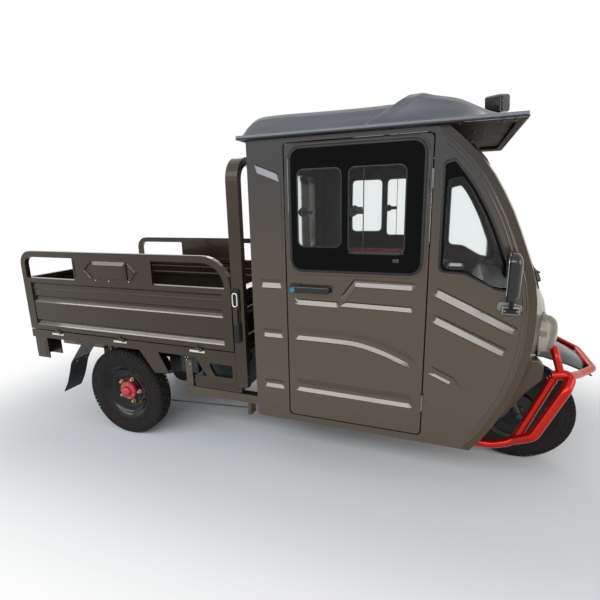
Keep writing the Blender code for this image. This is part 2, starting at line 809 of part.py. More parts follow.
def tailgate():
    """Rear drop gate between the two side gates."""
    half = HALF_WIDTH - GATE_THICK - RUNNING
    span = (REAR_X, REAR_X + GATE_THICK)
    outline = [(-half, GATE_BOTTOM_Z), (half, GATE_BOTTOM_Z), (half, GATE_TOP_Z), (-half, GATE_TOP_Z)]
    edge = half - 0.045
    field = [(-edge, 0.668), (edge, 0.668), (edge, GATE_TOP_Z - 0.028), (-edge, GATE_TOP_Z - 0.028)]
    gate = slab("tailgate", outline, span, "X", (field,))
    profile = panel_profile(lambda depth: REAR_X + depth, 0.006)
    pressed = slab("pressed_tail_panel", profile, (-edge - 0.004, edge + 0.004), "Y")
    fuse(gate, pressed)
    for side in (-1, 1):
        latch_y = sided(side, half - 0.040, half - 0.012)
        fuse(gate, box("tail_latch", (REAR_X - 0.018, REAR_X + 0.004), latch_y, (0.830, 0.945)))
    for y in TAIL_HINGE_YS:
        fuse(gate, tail_knuckle("tail_hinge", y, 0))
    hinge = pivot("tailgate_axis", (REAR_X - GATE_HINGE_OUT, 0, GATE_HINGE_Z))
    return finish(gate, "bronze_paint", 0, hinge)


def headboard():
    """Hoop of rectangular tube with the pressed board between its legs."""
    inner = HALF_WIDTH - POST_WIDTH
    hoop = rounded(
        [
            (-HALF_WIDTH, POST_FOOT_Z),
            (-inner, POST_FOOT_Z),
            (-inner, HEADBOARD_TOP_Z - POST_WIDTH, HEADBOARD_BEND - POST_WIDTH),
            (inner, HEADBOARD_TOP_Z - POST_WIDTH, HEADBOARD_BEND - POST_WIDTH),
            (inner, POST_FOOT_Z),
            (HALF_WIDTH, POST_FOOT_Z),
            (HALF_WIDTH, HEADBOARD_TOP_Z, HEADBOARD_BEND),
            (-HALF_WIDTH, HEADBOARD_TOP_Z, HEADBOARD_BEND),
        ],
        8,
    )
    board = slab("headboard", hoop, POST_X, "X")
    profile = panel_profile(lambda depth: POST_X[0] + 0.004 + depth, 0.006)
    pressed = slab("pressed_headboard", profile, (-inner - 0.004, inner + 0.004), "Y")
    rails = []
    for zs in ((GATE_BOTTOM_Z, 0.670), (GATE_TOP_Z - 0.030, GATE_TOP_Z)):
        rails.append(box("board_rail", POST_X, (-inner - 0.004, inner + 0.004), zs))
    latches = gate_latch(-1) + gate_latch(1)
    return finish(fuse(board, pressed, *rails, *latches), "bronze_paint")


def gate_latch(side):
    """Toggle latch on the hoop leg at the gate's front end."""
    inner = HALF_WIDTH - 0.002
    body = box("latch_body", (-0.116, -0.082), sided(side, inner, HALF_WIDTH + 0.010), (0.880, 0.975))
    lever = box("lever", (-0.108, -0.086), sided(side, inner, HALF_WIDTH + 0.020), (0.712, 0.890))
    return [body, lever]


def mud_flap(side):
    """Steel bracket and rubber flap behind the rear wheel."""
    top = SILL_Z[0] - SEAT
    thick = 0.007
    line = [(-1.225, top), (-1.255, 0.560), (-1.370, 0.420)]
    line += [(-1.395, 0.350), (-1.425, 0.280), (-1.475, 0.205)]
    outline = line + [(x + thick, z - 0.003) for x, z in reversed(line[1:])] + [(-1.212, top)]
    span = sided(side, HALF_WIDTH - 0.145, HALF_WIDTH - 0.008)
    return finish(slab("mud_flap_" + word(side), outline, span, "Y"), "black_plastic")


def tail_lamp(side):
    back = LAMP_FACE_X - SEAT
    span = sided(side, HALF_WIDTH - 0.088, HALF_WIDTH - 0.012)
    lamp = box("tail_lamp_" + word(side), (back - 0.020, back), span, (0.462, 0.552))
    return finish(lamp, "lamp_red")


# Cab


def seam_normal(z):
    """Outward normal of the side seam in the XZ plane."""
    step = 0.004
    run = smooth(SIDE_SEAM, z + step) - smooth(SIDE_SEAM, z - step)
    return Vector((2 * step, 0, -run)).normalized()


def nose_row(z, offset, columns, half=HALF_WIDTH):
    """One level of the cab front, an offset out from the side seam."""
    normal = seam_normal(z)
    row = []
    for i in range(columns):
        y = -half + 2 * half * i / (columns - 1)
        ahead = smooth(NOSE_BULGE, z) * (1 - (y / HALF_WIDTH) ** 2)
        row.append((smooth(SIDE_SEAM, z) + normal.x * offset + ahead, y, z + normal.z * offset))
    return row


def nose_solid(name, inner, outer, zs, columns, half=HALF_WIDTH):
    """A curved sheet of the cab front between two offsets."""
    rings = []
    for z in zs:
        rings.append(nose_row(z, inner, columns, half) + nose_row(z, outer, columns, half)[::-1])
    return loft(name, rings)


def windscreen_outline(clear):
    low = 1.040 + clear
    high = 1.622 - clear
    low_y = HALF_WIDTH - 0.060 - clear
    high_y = HALF_WIDTH - 0.090 - clear
    corners = [(-low_y, low), (low_y, low), (high_y, high), (-high_y, high)]
    return rounded([(*corner, 0.07 - clear) for corner in corners], 6)


def cab_front():
    """Front cowl and windscreen frame in one pressing, open over the wheel."""
    heights = steps(CAB_BOTTOM_Z, CAB_TOP_Z, SEAM_LEVELS)
    front = nose_solid("cab_front", SEAT, FLANGE, heights, 9)
    trim = box("front_trim", (0.5, 1.8), (-0.7, 0.7), (CAB_TOP_Z, CAB_TOP_Z + 0.1))
    foot = box("front_foot", (0.5, 1.8), (-0.7, 0.7), (CAB_BOTTOM_Z - 0.1, CAB_BOTTOM_Z))
    screen = slab("screen_cut", windscreen_outline(0.0), (0.80, 1.50), "X")
    arch_y = HALF_WIDTH - 0.055
    half = [(arch_y, 0.200), (arch_y, 0.560), (arch_y - 0.097, 0.650), (arch_y - 0.237, 0.725)]
    outline = half + [(-y, z) for y, z in reversed(half)]
    arch = slab("arch_cut", outline, (0.90, 1.60), "X")
    carve(front, trim, foot, screen, arch)
    for side in (-1, 1):
        carve(front, slab("lamp_pocket", lamp_ring(side, 1.0, 0.0), (1.10, 1.60), "X"))
    return finish(front, "bronze_paint")


def lamp_ring(side, share, clear):
    """Oval about a headlight's axis: (y, z) points."""
    ring = []
    for i in range(LAMP_FACETS):
        angle = math.tau * i / LAMP_FACETS
        y = side * LAMP_Y + (LAMP_HALF_WIDTH - clear) * share * math.cos(angle)
        ring.append((y, LAMP_Z + (LAMP_HALF_HEIGHT - clear) * share * math.sin(angle)))
    return ring


def headlight(side):
    """Oval lamp with a domed lens, filling its pocket in the cowl."""
    rings = []
    for x, share in ((1.275, 1.0), (1.352, 1.0), (1.376, 0.93), (1.394, 0.76), (1.403, 0.45)):
        oval = lamp_ring(side, share, SEAT)
        rings.append([(x + (LAMP_Y - abs(y)) * 0.10, y, z) for y, z in oval])
    return finish(loft("headlight_" + word(side), rings), "clear_lens", 50)


def windscreen():
    """Curved pane set into the front frame."""
    heights = steps(0.990, 1.680, 9)
    sheet = nose_solid("windscreen", 0.014, 0.014 + GLASS, heights, 7, HALF_WIDTH - 0.032)
    overlap(sheet, slab("screen_edge", windscreen_outline(SEAT), (0.80, 1.50), "X"))
    return finish(sheet, "tinted_glass", 60)


def seam_outline(zs, inset):
    """Points along the side seam, moved in by inset."""
    points = []
    for z in zs:
        normal = seam_normal(z)
        points.append((smooth(SIDE_SEAM, z) - normal.x * inset, z - normal.z * inset))
    return points


def quarter_glass_outline(clear):
    """Sail-shaped pane behind the screen pillar."""
    edge = seam_outline(steps(1.100, 1.590, 9), 0.040 + clear)
    top = edge[-1]
    sill = [(0.887 + clear, 1.108 + clear, 0.02)]
    for x, z in ((1.000, 1.103), (1.100, 1.056), (1.150, 1.034)):
        sill.append((x, z + clear))
    sill.append((1.196 - clear, 1.040 + clear))
    peak = [(top[0] - 0.028, 1.600 - clear), (0.887 + clear, 1.572 - clear)]
    return rounded(sill + edge + peak, 4)


def door_outline(grow):
    xs = (DOOR_X[0] - grow, DOOR_X[1] + grow)
    zs = (DOOR_Z[0] - grow, DOOR_Z[1] + grow)
    return oblong(xs, zs, 0.020, 3)


def door_hinge(name, z, side, part):
    """One knuckle of a door hinge: part 0 is the door's, part -1 is the pillar's below it."""
    half_length = DOOR_HINGE_LENGTH / 2
    low = z + part * (half_length + SEAT)
    x = DOOR_X[1] + RUNNING / 2
    y = side * (HALF_WIDTH + DOOR_HINGE_RADIUS + 0.001)
    barrel = rod(name, (x, y, low), (x, y, low + half_length), DOOR_HINGE_RADIUS, 8)
    reach = -0.022 if part == 0 else 0.022
    leaf_y = sided(side, HALF_WIDTH - 0.003, HALF_WIDTH + 0.004)
    leaf_x = (x + math.copysign(LEAF_LAP, reach), x + reach)
    return fuse(barrel, box(name + "_leaf", leaf_x, leaf_y, (low + LEAF_LAP, low + half_length - LEAF_LAP)))


def cab_side(side):
    """Side pressing with the door opening, the quarter window and its grooves."""
    seam = seam_outline(steps(CAB_BOTTOM_Z, CAB_TOP_Z, SEAM_LEVELS), 0.0)
    outline = [(0.0, CAB_BOTTOM_Z + 0.012), (0.012, CAB_BOTTOM_Z)] + seam + [(0.0, CAB_TOP_Z)]
    span = sided(side, HALF_WIDTH - WALL, HALF_WIDTH)
    holes = (door_outline(RUNNING), quarter_glass_outline(0.0))
    panel = slab("cab_side_" + word(side), outline, span, "Y", holes)
    grooves = []
    for top in (1.040, 0.781, 0.502):
        stations = ((0.042, top), (0.058, top), (0.150, top), (0.168, top))
        grooves.append(
            groove("short_groove", [(x, z + 0.012, z - 0.002, z - 0.040) for x, z in stations], side)
        )
    upper = ((0.036, 1.600), (0.052, 1.592), (0.150, 1.553), (0.172, 1.542))
    grooves.append(groove("upper_groove", [(x, z + 0.010, z, z - 0.030) for x, z in upper], side))
    for start, end in (((0.880, 1.046), (1.228, 0.882)), ((0.880, 0.924), (1.196, 0.786))):
        run = (end[0] - start[0], end[1] - start[1])
        line = [(start[0] + run[0] * t, start[1] + run[1] * t) for t in (0, 0.06, 0.95, 1)]
        grooves.append(groove("slant_groove", [(x, z + 0.012, z, z - 0.028) for x, z in line], side))
    low = ((0.878, 0.680), (0.900, 0.672), (0.985, 0.634), (1.045, 0.560))
    grooves.append(groove("corner_groove", [(x, z + 0.010, z, z - 0.030) for x, z in low], side))
    carve(panel, *grooves)
    for z in DOOR_HINGE_ZS:
        fuse(panel, door_hinge("pillar_hinge", z, side, -1))
    return finish(panel, "bronze_paint")


def quarter_glass(side):
    """Fixed pane ahead of the door."""
    span = sided(side, HALF_WIDTH - GLASS_INSET, HALF_WIDTH - GLASS_INSET - GLASS)
    pane = slab("quarter_glass_" + word(side), quarter_glass_outline(SEAT), span, "Y")
    return finish(pane, "tinted_glass")


def door_window(clear):
    xs = (DOOR_WINDOW_X[0] + clear, DOOR_WINDOW_X[1] - clear)
    zs = (DOOR_WINDOW_Z[0] + clear, DOOR_WINDOW_Z[1] - clear)
    return oblong(xs, zs, 0.055 - clear, 6)


def door(side, hinge):
    """Pressed door with its window opening, grooves and hinge knuckles."""
    span = sided(side, HALF_WIDTH - WALL, HALF_WIDTH)
    leaf = slab("door_" + word(side), door_outline(0.0), span, "Y", (door_window(0.0),))
    grooves = []
    swoosh = ((0.452, 0.968), (0.475, 0.990), (0.528, 1.062), (0.790, 1.056), (0.812, 1.050))
    grooves.append(groove("swoosh", [(x, z + 0.010, z, z - 0.024) for x, z in swoosh], side))
    waist = ((0.222, 0.968), (0.250, 0.952), (0.450, 0.950), (0.455, 0.950))
    grooves.append(groove("waist", [(x, z + 0.008, z, z - 0.018) for x, z in waist], side))
    front_waist = ((0.462, 0.955), (0.480, 0.953), (0.785, 0.947), (0.806, 0.946))
    grooves.append(groove("front_waist", [(x, z + 0.008, z, z - 0.018) for x, z in front_waist], side))
    arc = ((0.222, 0.788), (0.245, 0.786), (0.500, 0.785), (0.595, 0.772), (0.690, 0.744))
    arc += ((0.790, 0.704), (0.822, 0.690))
    grooves.append(groove("arc", [(x, z + 0.030, z, z - 0.044) for x, z in arc], side))
    low = ((0.222, 0.508), (0.245, 0.507), (0.795, 0.500), (0.820, 0.500))
    grooves.append(groove("low", [(x, z + 0.032, z, z - 0.044) for x, z in low], side))
    carve(leaf, *grooves)
    for z in DOOR_HINGE_ZS:
        fuse(leaf, door_hinge("door_hinge", z, side, 0))
    fuse(leaf, *door_handle(side))
    return finish(leaf, "bronze_paint", 0, hinge)


def door_glass(side, hinge):
    """Door glazing, flush in its opening."""
    span = sided(side, HALF_WIDTH - GLASS_INSET, HALF_WIDTH - GLASS_INSET - GLASS)
    pane = slab("door_glass_" + word(side), door_window(SEAT), span, "Y")
    return finish(pane, "tinted_glass", 0, hinge)


def door_handle(side):
    """Pull handle on two feet, with its lock plate."""
    z = 1.012
    stand = HALF_WIDTH + 0.022
    inner = HALF_WIDTH - 0.006
    line = [(0.234, inner, z), (0.246, stand, z), (0.400, stand, z), (0.410, inner, z)]
    path = filleted([(x, side * y, height) for x, y, height in line], 0.012, 2)
    handle = tube("pull_handle", path, 0.0095)
    plate_y = sided(side, HALF_WIDTH - 0.002, HALF_WIDTH + 0.010)
    return [handle, box("lock_plate", (0.212, 0.262), plate_y, (0.994, 1.034))]


def cab_rear_wall():
    """Back panel with the rear window."""
    half = HALF_WIDTH - WALL - SEAT
    outline = [(-half, 0.375), (half, 0.375), (half, CAB_TOP_Z), (-half, CAB_TOP_Z)]
    window = oblong((-REAR_WINDOW_HALF, REAR_WINDOW_HALF), REAR_WINDOW_Z, 0.05)
    return finish(slab("cab_rear_wall", outline, (0.0, WALL), "X", (window,)), "bronze_paint")


def rear_glass():
    half = REAR_WINDOW_HALF - SEAT
    window = oblong((-half, half), (REAR_WINDOW_Z[0] + SEAT, REAR_WINDOW_Z[1] - SEAT), 0.05 - SEAT)
    return finish(slab("rear_glass", window, (0.010, 0.010 + GLASS), "X"), "tinted_glass")


def cab_floor():
    """Floor, toe board and the shelf over the wheel, as one folded sheet."""
    half = HALF_WIDTH - WALL - SEAT
    base = LOWER_RAIL_Z[1] + SEAT
    skin = FLOOR_THICK
    toe_x = 0.880
    shelf_x = 0.965
    shelf_end = 1.235
    section = [
        (WALL + SEAT, base),
        (toe_x, base),
        (shelf_x, SHELF_Z),
        (shelf_end, SHELF_Z),
        (shelf_end, SHELF_Z + skin),
        (shelf_x - 0.006, SHELF_Z + skin),
        (toe_x - 0.008, base + skin),
        (WALL + SEAT, base + skin),
    ]
    floor = slab("cab_floor", section, (-half, half), "Y")
    hole = rod("stem_hole", axis_point(0.45), axis_point(0.66), 0.045, 16)
    return finish(carve(floor, hole), "black_paint")


def roof():
    """Moulded roof with its raised front scoop, gutter and sun visor."""
    base = CAB_TOP_Z + SEAT
    rings = []
    for x, foot_inset, shoulder_inset, top in ROOF_SECTIONS:
        foot = ROOF_HALF - foot_inset
        shoulder = ROOF_HALF - shoulder_inset
        half = [
            (ROOF_HALF, base),
            (ROOF_HALF, base + GUTTER_HEIGHT),
            (foot, base + GUTTER_HEIGHT + 0.003),
            (shoulder + 0.030, max(top - 0.026, base + GUTTER_HEIGHT + 0.004)),
            (shoulder, max(top - 0.006, base + GUTTER_HEIGHT + 0.006)),
            (shoulder * 0.5, top + 0.010),
        ]
        ring = [(x, y, z) for y, z in half]
        ring.append((x, 0.0, top + 0.014))
        ring += [(x, -y, z) for y, z in reversed(half)]
        rings.append(ring)
    shell = loft("roof", rings)
    pocket_rings = []
    wall_y = ROOF_HALF - 0.069
    ceiling_y = ROOF_HALF - 0.144
    half_pocket = ((wall_y, base - 0.01), (wall_y, base + 0.030), (ceiling_y, 1.805))
    for x in (0.040, 0.800):
        ring = [(x, y, z) for y, z in half_pocket]
        pocket_rings.append(ring + [(x, -y, z) for _, y, z in reversed(ring)])
    front_y = ROOF_HALF - 0.114
    corners = ((1.060, -ceiling_y), (1.150, -front_y), (1.150, front_y), (1.060, ceiling_y))
    recess = rounded([(*corner, 0.03) for corner in corners], 4)
    visor = slab("visor_recess", recess, (base - 0.01, base + 0.010), "Z")
    pad = box("lamp_pad", (1.066, 1.122), (-0.040, 0.040), (1.760, LAMP_PAD_Z))
    return finish(carve(fuse(shell, pad), loft("roof_pocket", pocket_rings), visor), "bronze_paint", 35)


def roof_lamp():
    """Work lamp on a short foot above the visor."""
    base = LAMP_PAD_Z + SEAT
    lamp = box("roof_lamp", (1.052, 1.140), (-0.058, 0.058), (base + 0.012, base + 0.104))
    bevel = lamp.modifiers.new("edges", "BEVEL")
    bevel.width = 0.012
    bevel.segments = 2
    foot = rod("lamp_foot", (1.094, 0, base), (1.094, 0, base + 0.05), 0.018, 12)
    return finish(fuse(baked(lamp), foot), "black_plastic")


def mirror(side):
    """Door mirror on a two-screw foot on the side pressing."""
    face = HALF_WIDTH + SEAT
    foot = box("mirror_" + word(side), (1.128, 1.205), sided(side, face, face + 0.014), (0.925, 0.972))
    path = filleted(
        [
            (1.168, side * (face + 0.008), 0.955),
            (1.172, side * (face + 0.040), 0.975),
            (1.176, side * (face + 0.060), 1.060),
        ],
        0.03,
        4,
    )
    arm = tube("mirror_arm", path, 0.009)
    rings = []
    head_y = (HALF_WIDTH + 0.038, HALF_WIDTH + 0.164)
    for x, grow in ((1.150, -0.012), (1.158, 0.0), (1.182, 0.0), (1.200, -0.020)):
        outline = oblong((head_y[0] - grow, head_y[1] + grow), (1.000 - grow, 1.215 + grow), 0.032, 3)
        rings.append([(x, side * y, z) for y, z in outline])
    head = loft("mirror_head", rings)
    return finish(fuse(foot, arm, head), "black_plastic")


def bumper():
    """Red tube guard: a loop each side, a hoop round the mudguard and two uprights."""
    radius = BUMPER_TUBE
    rail_y = sum(LOWER_RAIL_Y) / 2
    loop_y = HALF_WIDTH - 0.082
    top_y = HALF_WIDTH - 0.137
    low = [(0.860, rail_y, 0.298), (1.170, loop_y, 0.298), (1.262, loop_y, 0.330), (1.400, top_y, 0.640)]
    outer = [(1.262, loop_y, 0.340), (1.330, loop_y + 0.030, 0.385), (1.440, loop_y, 0.610)]
    outer += [(1.470, top_y, 0.668), (1.392, top_y, 0.650)]
    upright = [(1.420, top_y, 0.668), (1.392, top_y - 0.015, 0.740)]
    end_y = top_y + 0.015
    pieces = []
    for side in (-1, 1):
        for name, line, size, bend in (
            ("lower_tube", low, radius, 0.10),
            ("outer_loop", outer, radius * 1.15, 0.06),
            ("upright", upright, radius * 0.85, 0.05),
        ):
            path = [(x, side * y, z) for x, y, z in line]
            if len(path) > 2:
                path = filleted(path, bend, 3)
            pieces.append(tube(name, path, size))
        foot_y = sided(side, LOWER_RAIL_Y[0], LOWER_RAIL_Y[1])
        pieces.append(box("foot_plate", (0.870, 0.940), foot_y, (0.305, LOWER_RAIL_Z[0] - SEAT)))
    hoop = filleted(
        [
            (1.440, -end_y, 0.655),
            (1.545, -0.220, 0.600),
            (FRONT_X, -0.200, 0.565),
            (FRONT_X, 0.200, 0.565),
            (1.545, 0.220, 0.600),
            (1.440, end_y, 0.655),
        ],
        0.07,
        4,
    )
    guard = tube("bumper", hoop, radius * 0.9)
    return finish(fuse(guard, *pieces), "bumper_red", 50)


def front_mudguard():
    """Broad guard over the front wheel, carried under the cowl."""
    rings = []
    for x, z, half in MUDGUARD_SECTIONS:
        upper = []
        lower = []
        for t in steps(-1.0, 1.0, 7):
            drop = 0.030 * abs(t) ** 3
            upper.append((x, half * t, z - drop))
            lower.append((x - 0.002, (half - 0.004) * t, z - drop - 0.006))
        rings.append(upper + lower[::-1])
    guard = loft("front_mudguard", rings)
    for side in (-1, 1):
        tab_z = (MUDGUARD_SECTIONS[0][1] - 0.014, SHELF_Z - SEAT)
        fuse(guard, box("guard_tab", (1.196, 1.224), sided(side, 0.090, 0.130), tab_z))
    return finish(guard, "mudguard_grey", 60)


# Cab interior


def dashboard():
    half = HALF_WIDTH - WALL - SEAT - 0.012
    base = SHELF_Z + FLOOR_THICK + SEAT
    foot = [(1.120, base), (1.225, base)]
    crown = [(1.225, 1.000, 0.02), (1.100, 1.018, 0.02), (1.050, 0.985, 0.02)]
    outline = rounded(foot + crown + [(1.080, 0.900)], 4)
    return finish(slab("dashboard", outline, (-half, half), "Y"), "black_plastic")


def seat_base():
    """Box under the cushion."""
    base = LOWER_RAIL_Z[1] + SEAT + FLOOR_THICK + SEAT
    plinth = box("seat_base", (0.200, 0.600), (-0.290, 0.290), (base, SEAT_Z - SEAT))
    return finish(plinth, "black_plastic")


def seat_cushion():
    cushion = box("seat_cushion", (0.190, 0.630), (-0.300, 0.300), (SEAT_Z, SEAT_Z + 0.100))
    return finish(rounded_block(cushion), "seat_vinyl")


def seat_back():
    back = box("seat_back", (WALL + SEAT, 0.130), (-0.300, 0.300), (SEAT_Z + 0.105, 1.110))
    return finish(rounded_block(back), "seat_vinyl")


def rounded_block(obj):
    bevel = obj.modifiers.new("edges", "BEVEL")
    bevel.width = 0.022
    bevel.segments = 3
    return obj


# Wheels and steering


def tyre(name, y, x, hub):
    half = TYRE_WIDTH / 2
    profile = [
        (BEAD_RADIUS, -0.040),
        (BEAD_RADIUS, 0.040),
        (BEAD_RADIUS + 0.014, 0.042),
        (BEAD_RADIUS + 0.052, half),
        (TYRE_RADIUS - 0.030, half - 0.002),
        (TYRE_RADIUS - 0.008, half - 0.014),
        (TYRE_RADIUS, 0.0),
        (TYRE_RADIUS - 0.008, -half + 0.014),
        (TYRE_RADIUS - 0.030, -half + 0.002),
        (BEAD_RADIUS + 0.052, -half),
        (BEAD_RADIUS + 0.014, -0.042),
    ]
    made = turned(name, profile, WHEEL_FACETS, closed=True)
    made.location = (x, y, TYRE_RADIUS)
    return finish(made, "tyre_rubber", 40, hub)


def rear_rim(side, hub):
    """Pressed disc wheel with its hub and cap; the disc is dished inward."""
    well = BEAD_RADIUS - 0.004
    lip = BEAD_RADIUS + 0.013
    seat = 0.0405
    dish = BEAD_RADIUS - 0.037
    out = (
        (0.0, 0.040),
        (0.024, 0.038),
        (0.030, 0.016),
        (dish - 0.046, 0.002),
        (dish, 0.014),
        (well - 0.006, 0.034),
        (lip - 0.002, RIM_HALF_WIDTH),
        (lip - 0.001, seat + 0.003),
        (BEAD_RADIUS - SEAT, seat + 0.002),
        (BEAD_RADIUS - SEAT, -seat - 0.002),
        (lip - 0.001, -seat - 0.003),
        (lip - 0.003, -RIM_HALF_WIDTH),
        (well - 0.006, -0.034),
        (dish + 0.004, 0.004),
        (0.040, -0.006),
        (0.034, -0.060),
        (HUB_BORE, -0.060),
        (HUB_BORE, 0.010),
        (0.0, 0.010),
    )
    made = turned("rear_rim_" + word(side), [(radius, side * along) for radius, along in out], WHEEL_FACETS)
    made.location = (REAR_AXLE_X, side * REAR_WHEEL_Y, TYRE_RADIUS)
    return finish(made, "black_paint", 35, hub)


def front_rim(hub):
    """Cast front wheel: barrel, hub and five spokes."""
    lip = BEAD_RADIUS + 0.013
    inner = BEAD_RADIUS - 0.010
    seat = 0.0405
    profile = [
        (BEAD_RADIUS - SEAT, -seat - 0.002),
        (lip - 0.001, -seat - 0.003),
        (lip, -RIM_HALF_WIDTH),
        (inner, -RIM_HALF_WIDTH + 0.006),
        (inner, RIM_HALF_WIDTH - 0.006),
        (lip, RIM_HALF_WIDTH),
        (lip - 0.001, seat + 0.003),
        (BEAD_RADIUS - SEAT, seat + 0.002),
    ]
    made = turned("front_rim", profile, WHEEL_FACETS, closed=True)
    hub_profile = [(FRONT_BORE, -0.066), (0.034, -0.066), (0.040, -0.030)]
    hub_profile += [(radius, -along) for radius, along in reversed(hub_profile)]
    core = turned("hub_core", hub_profile, 24, closed=True)
    spokes = []
    for i in range(5):
        spoke = box("spoke", (0.030, inner + 0.005), (-0.014, 0.014), (-0.017, 0.017))
        turn = Matrix.Rotation(math.tau * i / 5, 4, "Y")
        spoke.matrix_world = turn @ Matrix.Translation(spoke.location)
        spokes.append(spoke)
    solid = baked(fuse(made, core, *spokes))
    solid.location = (FRONT_AXLE_X, 0, TYRE_RADIUS)
    return finish(solid, "black_paint", 35, hub)


def front_fork(steering):
    """Fork legs, axle, lower yoke, stem and handlebar, turning as one."""
    tilt = Vector((-math.sin(RAKE), 0, math.cos(RAKE)))
    axle_y = FORK_HALF + 0.016
    fork = rod(
        "front_fork",
        (FRONT_AXLE_X, -axle_y, TYRE_RADIUS),
        (FRONT_AXLE_X, axle_y, TYRE_RADIUS),
        FRONT_BORE - SEAT,
        16,
    )
    pieces = []
    for side in (-1, 1):
        foot = Vector((FRONT_AXLE_X, side * FORK_HALF, TYRE_RADIUS)) - tilt * 0.020
        pieces.append(rod("leg", foot, foot + tilt * 0.370, LEG_RADIUS, 16))
        pieces.append(
            rod(
                "axle_nut",
                (FRONT_AXLE_X, side * (FORK_HALF + 0.010), TYRE_RADIUS),
                (FRONT_AXLE_X, side * (FORK_HALF + 0.026), TYRE_RADIUS),
                0.014,
                6,
            )
        )
    yoke_outline = rounded(
        [(-0.026, -0.105, 0.012), (0.050, -0.105, 0.012), (0.050, 0.105, 0.012), (-0.026, 0.105, 0.012)], 3
    )
    yoke = slab("yoke", yoke_outline, (-0.013, 0.013), "Z")
    yoke.matrix_world = Matrix.Translation(axis_point(0.335)) @ Matrix.Rotation(-RAKE, 4, "Y")
    pieces.append(yoke)
    pieces.append(rod("stem", axis_point(0.330), axis_point(0.830), STEM_RADIUS, 20))
    top = axis_point(0.820)
    bar = [
        (top.x - 0.060, -BAR_HALF, top.z + 0.025),
        (top.x - 0.040, -BAR_HALF + 0.130, top.z + 0.030),
        (top.x, -0.060, top.z),
        (top.x, 0.060, top.z),
        (top.x - 0.040, BAR_HALF - 0.130, top.z + 0.030),
        (top.x - 0.060, BAR_HALF, top.z + 0.025),
    ]
    pieces.append(tube("handlebar", filleted(bar, 0.05, 4), BAR_RADIUS))
    for side in (-1, 1):
        end = Vector(bar[0] if side < 0 else bar[5])
        inner = Vector(bar[1] if side < 0 else bar[4])
        pieces.append(rod("grip", end + (end - inner) * 0.04, end + (inner - end) * 0.88, 0.016, 14))
    return finish(fuse(fork, *pieces), "black_paint", 40, steering)


def build():
    clear_scene()
    mix_paints()
    chassis_frame()
    rear_axle()
    battery_pack()
    controller_box()
    bed_frame()
    bed_floor()
    headboard()
    tailgate()
    cab_front()
    windscreen()
    cab_rear_wall()
    rear_glass()
    cab_floor()
    roof()
    roof_lamp()
    bumper()
    front_mudguard()
    dashboard()
    seat_base()
    seat_cushion()
    seat_back()
    for side in (-1, 1):
        leaf_spring(side)
        side_gate(side)
        mud_flap(side)
        tail_lamp(side)
        cab_side(side)
        quarter_glass(side)
        headlight(side)
        mirror(side)
        hinge_y = side * (HALF_WIDTH + DOOR_HINGE_RADIUS + 0.001)
        hinge = pivot("door_axis_" + word(side), (DOOR_X[1] + RUNNING / 2, hinge_y, 1.0))
        door(side, hinge)
        door_glass(side, hinge)
        hub = pivot("rear_wheel_axis_" + word(side), (REAR_AXLE_X, side * REAR_WHEEL_Y, TYRE_RADIUS))
        tyre("rear_tyre_" + word(side), side * REAR_WHEEL_Y, REAR_AXLE_X, hub)
        rear_rim(side, hub)
    steering = pivot("steering_axis", axis_point(0.440))
    front_fork(steering)
    hub = pivot("front_wheel_axis", (FRONT_AXLE_X, 0, TYRE_RADIUS))
    hub.parent = steering
    hub.matrix_parent_inverse = steering.matrix_world.inverted()
    bpy.context.view_layer.update()
    tyre("front_tyre", 0.0, FRONT_AXLE_X, hub)
    front_rim(hub)


build()
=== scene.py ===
"""Finishes, glazing, tread, trim and studio of an electric cargo tricycle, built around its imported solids.

Metres. X points forward, Y to the vehicle's left, Z up. Z = 0 is the ground.
"""

import math

import bmesh
import bpy
from bpy.props import FloatProperty, FloatVectorProperty, IntProperty, PointerProperty
from bpy.types import Operator, Panel, PropertyGroup
from mathutils import Matrix, Vector


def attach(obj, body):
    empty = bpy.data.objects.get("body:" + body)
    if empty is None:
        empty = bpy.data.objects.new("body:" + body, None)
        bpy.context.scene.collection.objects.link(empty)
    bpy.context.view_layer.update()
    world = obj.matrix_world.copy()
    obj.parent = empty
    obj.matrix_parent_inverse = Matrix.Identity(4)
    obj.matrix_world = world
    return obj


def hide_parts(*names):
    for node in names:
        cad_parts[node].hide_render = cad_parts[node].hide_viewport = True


bl_info = {
    "name": "Electric cargo tricycle",
    "version": (1, 0, 0),
    "blender": (4, 5, 0),
    "location": "3D View > Sidebar > Tricycle",
    "description": "Finishes and fine pieces of a closed-cab electric cargo tricycle",
    "category": "Object",
}

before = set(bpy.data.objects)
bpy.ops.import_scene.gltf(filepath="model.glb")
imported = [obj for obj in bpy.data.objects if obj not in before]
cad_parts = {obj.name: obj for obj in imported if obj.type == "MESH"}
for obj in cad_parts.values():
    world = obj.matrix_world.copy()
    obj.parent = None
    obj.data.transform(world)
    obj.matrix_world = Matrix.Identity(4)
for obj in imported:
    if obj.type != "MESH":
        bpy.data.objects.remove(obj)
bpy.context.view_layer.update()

# Cab and bed, as in the solids
HALF_WIDTH = 0.552
FLANGE = 0.030
CAB_TOP_Z = 1.710
DOOR_WINDOW_X = (0.216, 0.826)
DOOR_WINDOW_Z = (1.098, 1.664)
FRONT_PANE = ((0.498, 0.748), (1.187, 1.567))
REAR_PANE = ((0.254, 0.464), (1.215, 1.567))
PANE_CORNER = 0.030
HEADLIGHT = (0.385, 0.832)
ROOF_HALF = 0.574
GUTTER_HEIGHT = 0.020

# Wheels and steering
TYRE_RADIUS = 0.280
BEAD_RADIUS = 0.163
REAR_AXLE_X = -0.935
REAR_WHEEL_Y = 0.499
FRONT_AXLE_X = 1.330
RAKE = math.radians(25)
TRAIL_X = 0.030

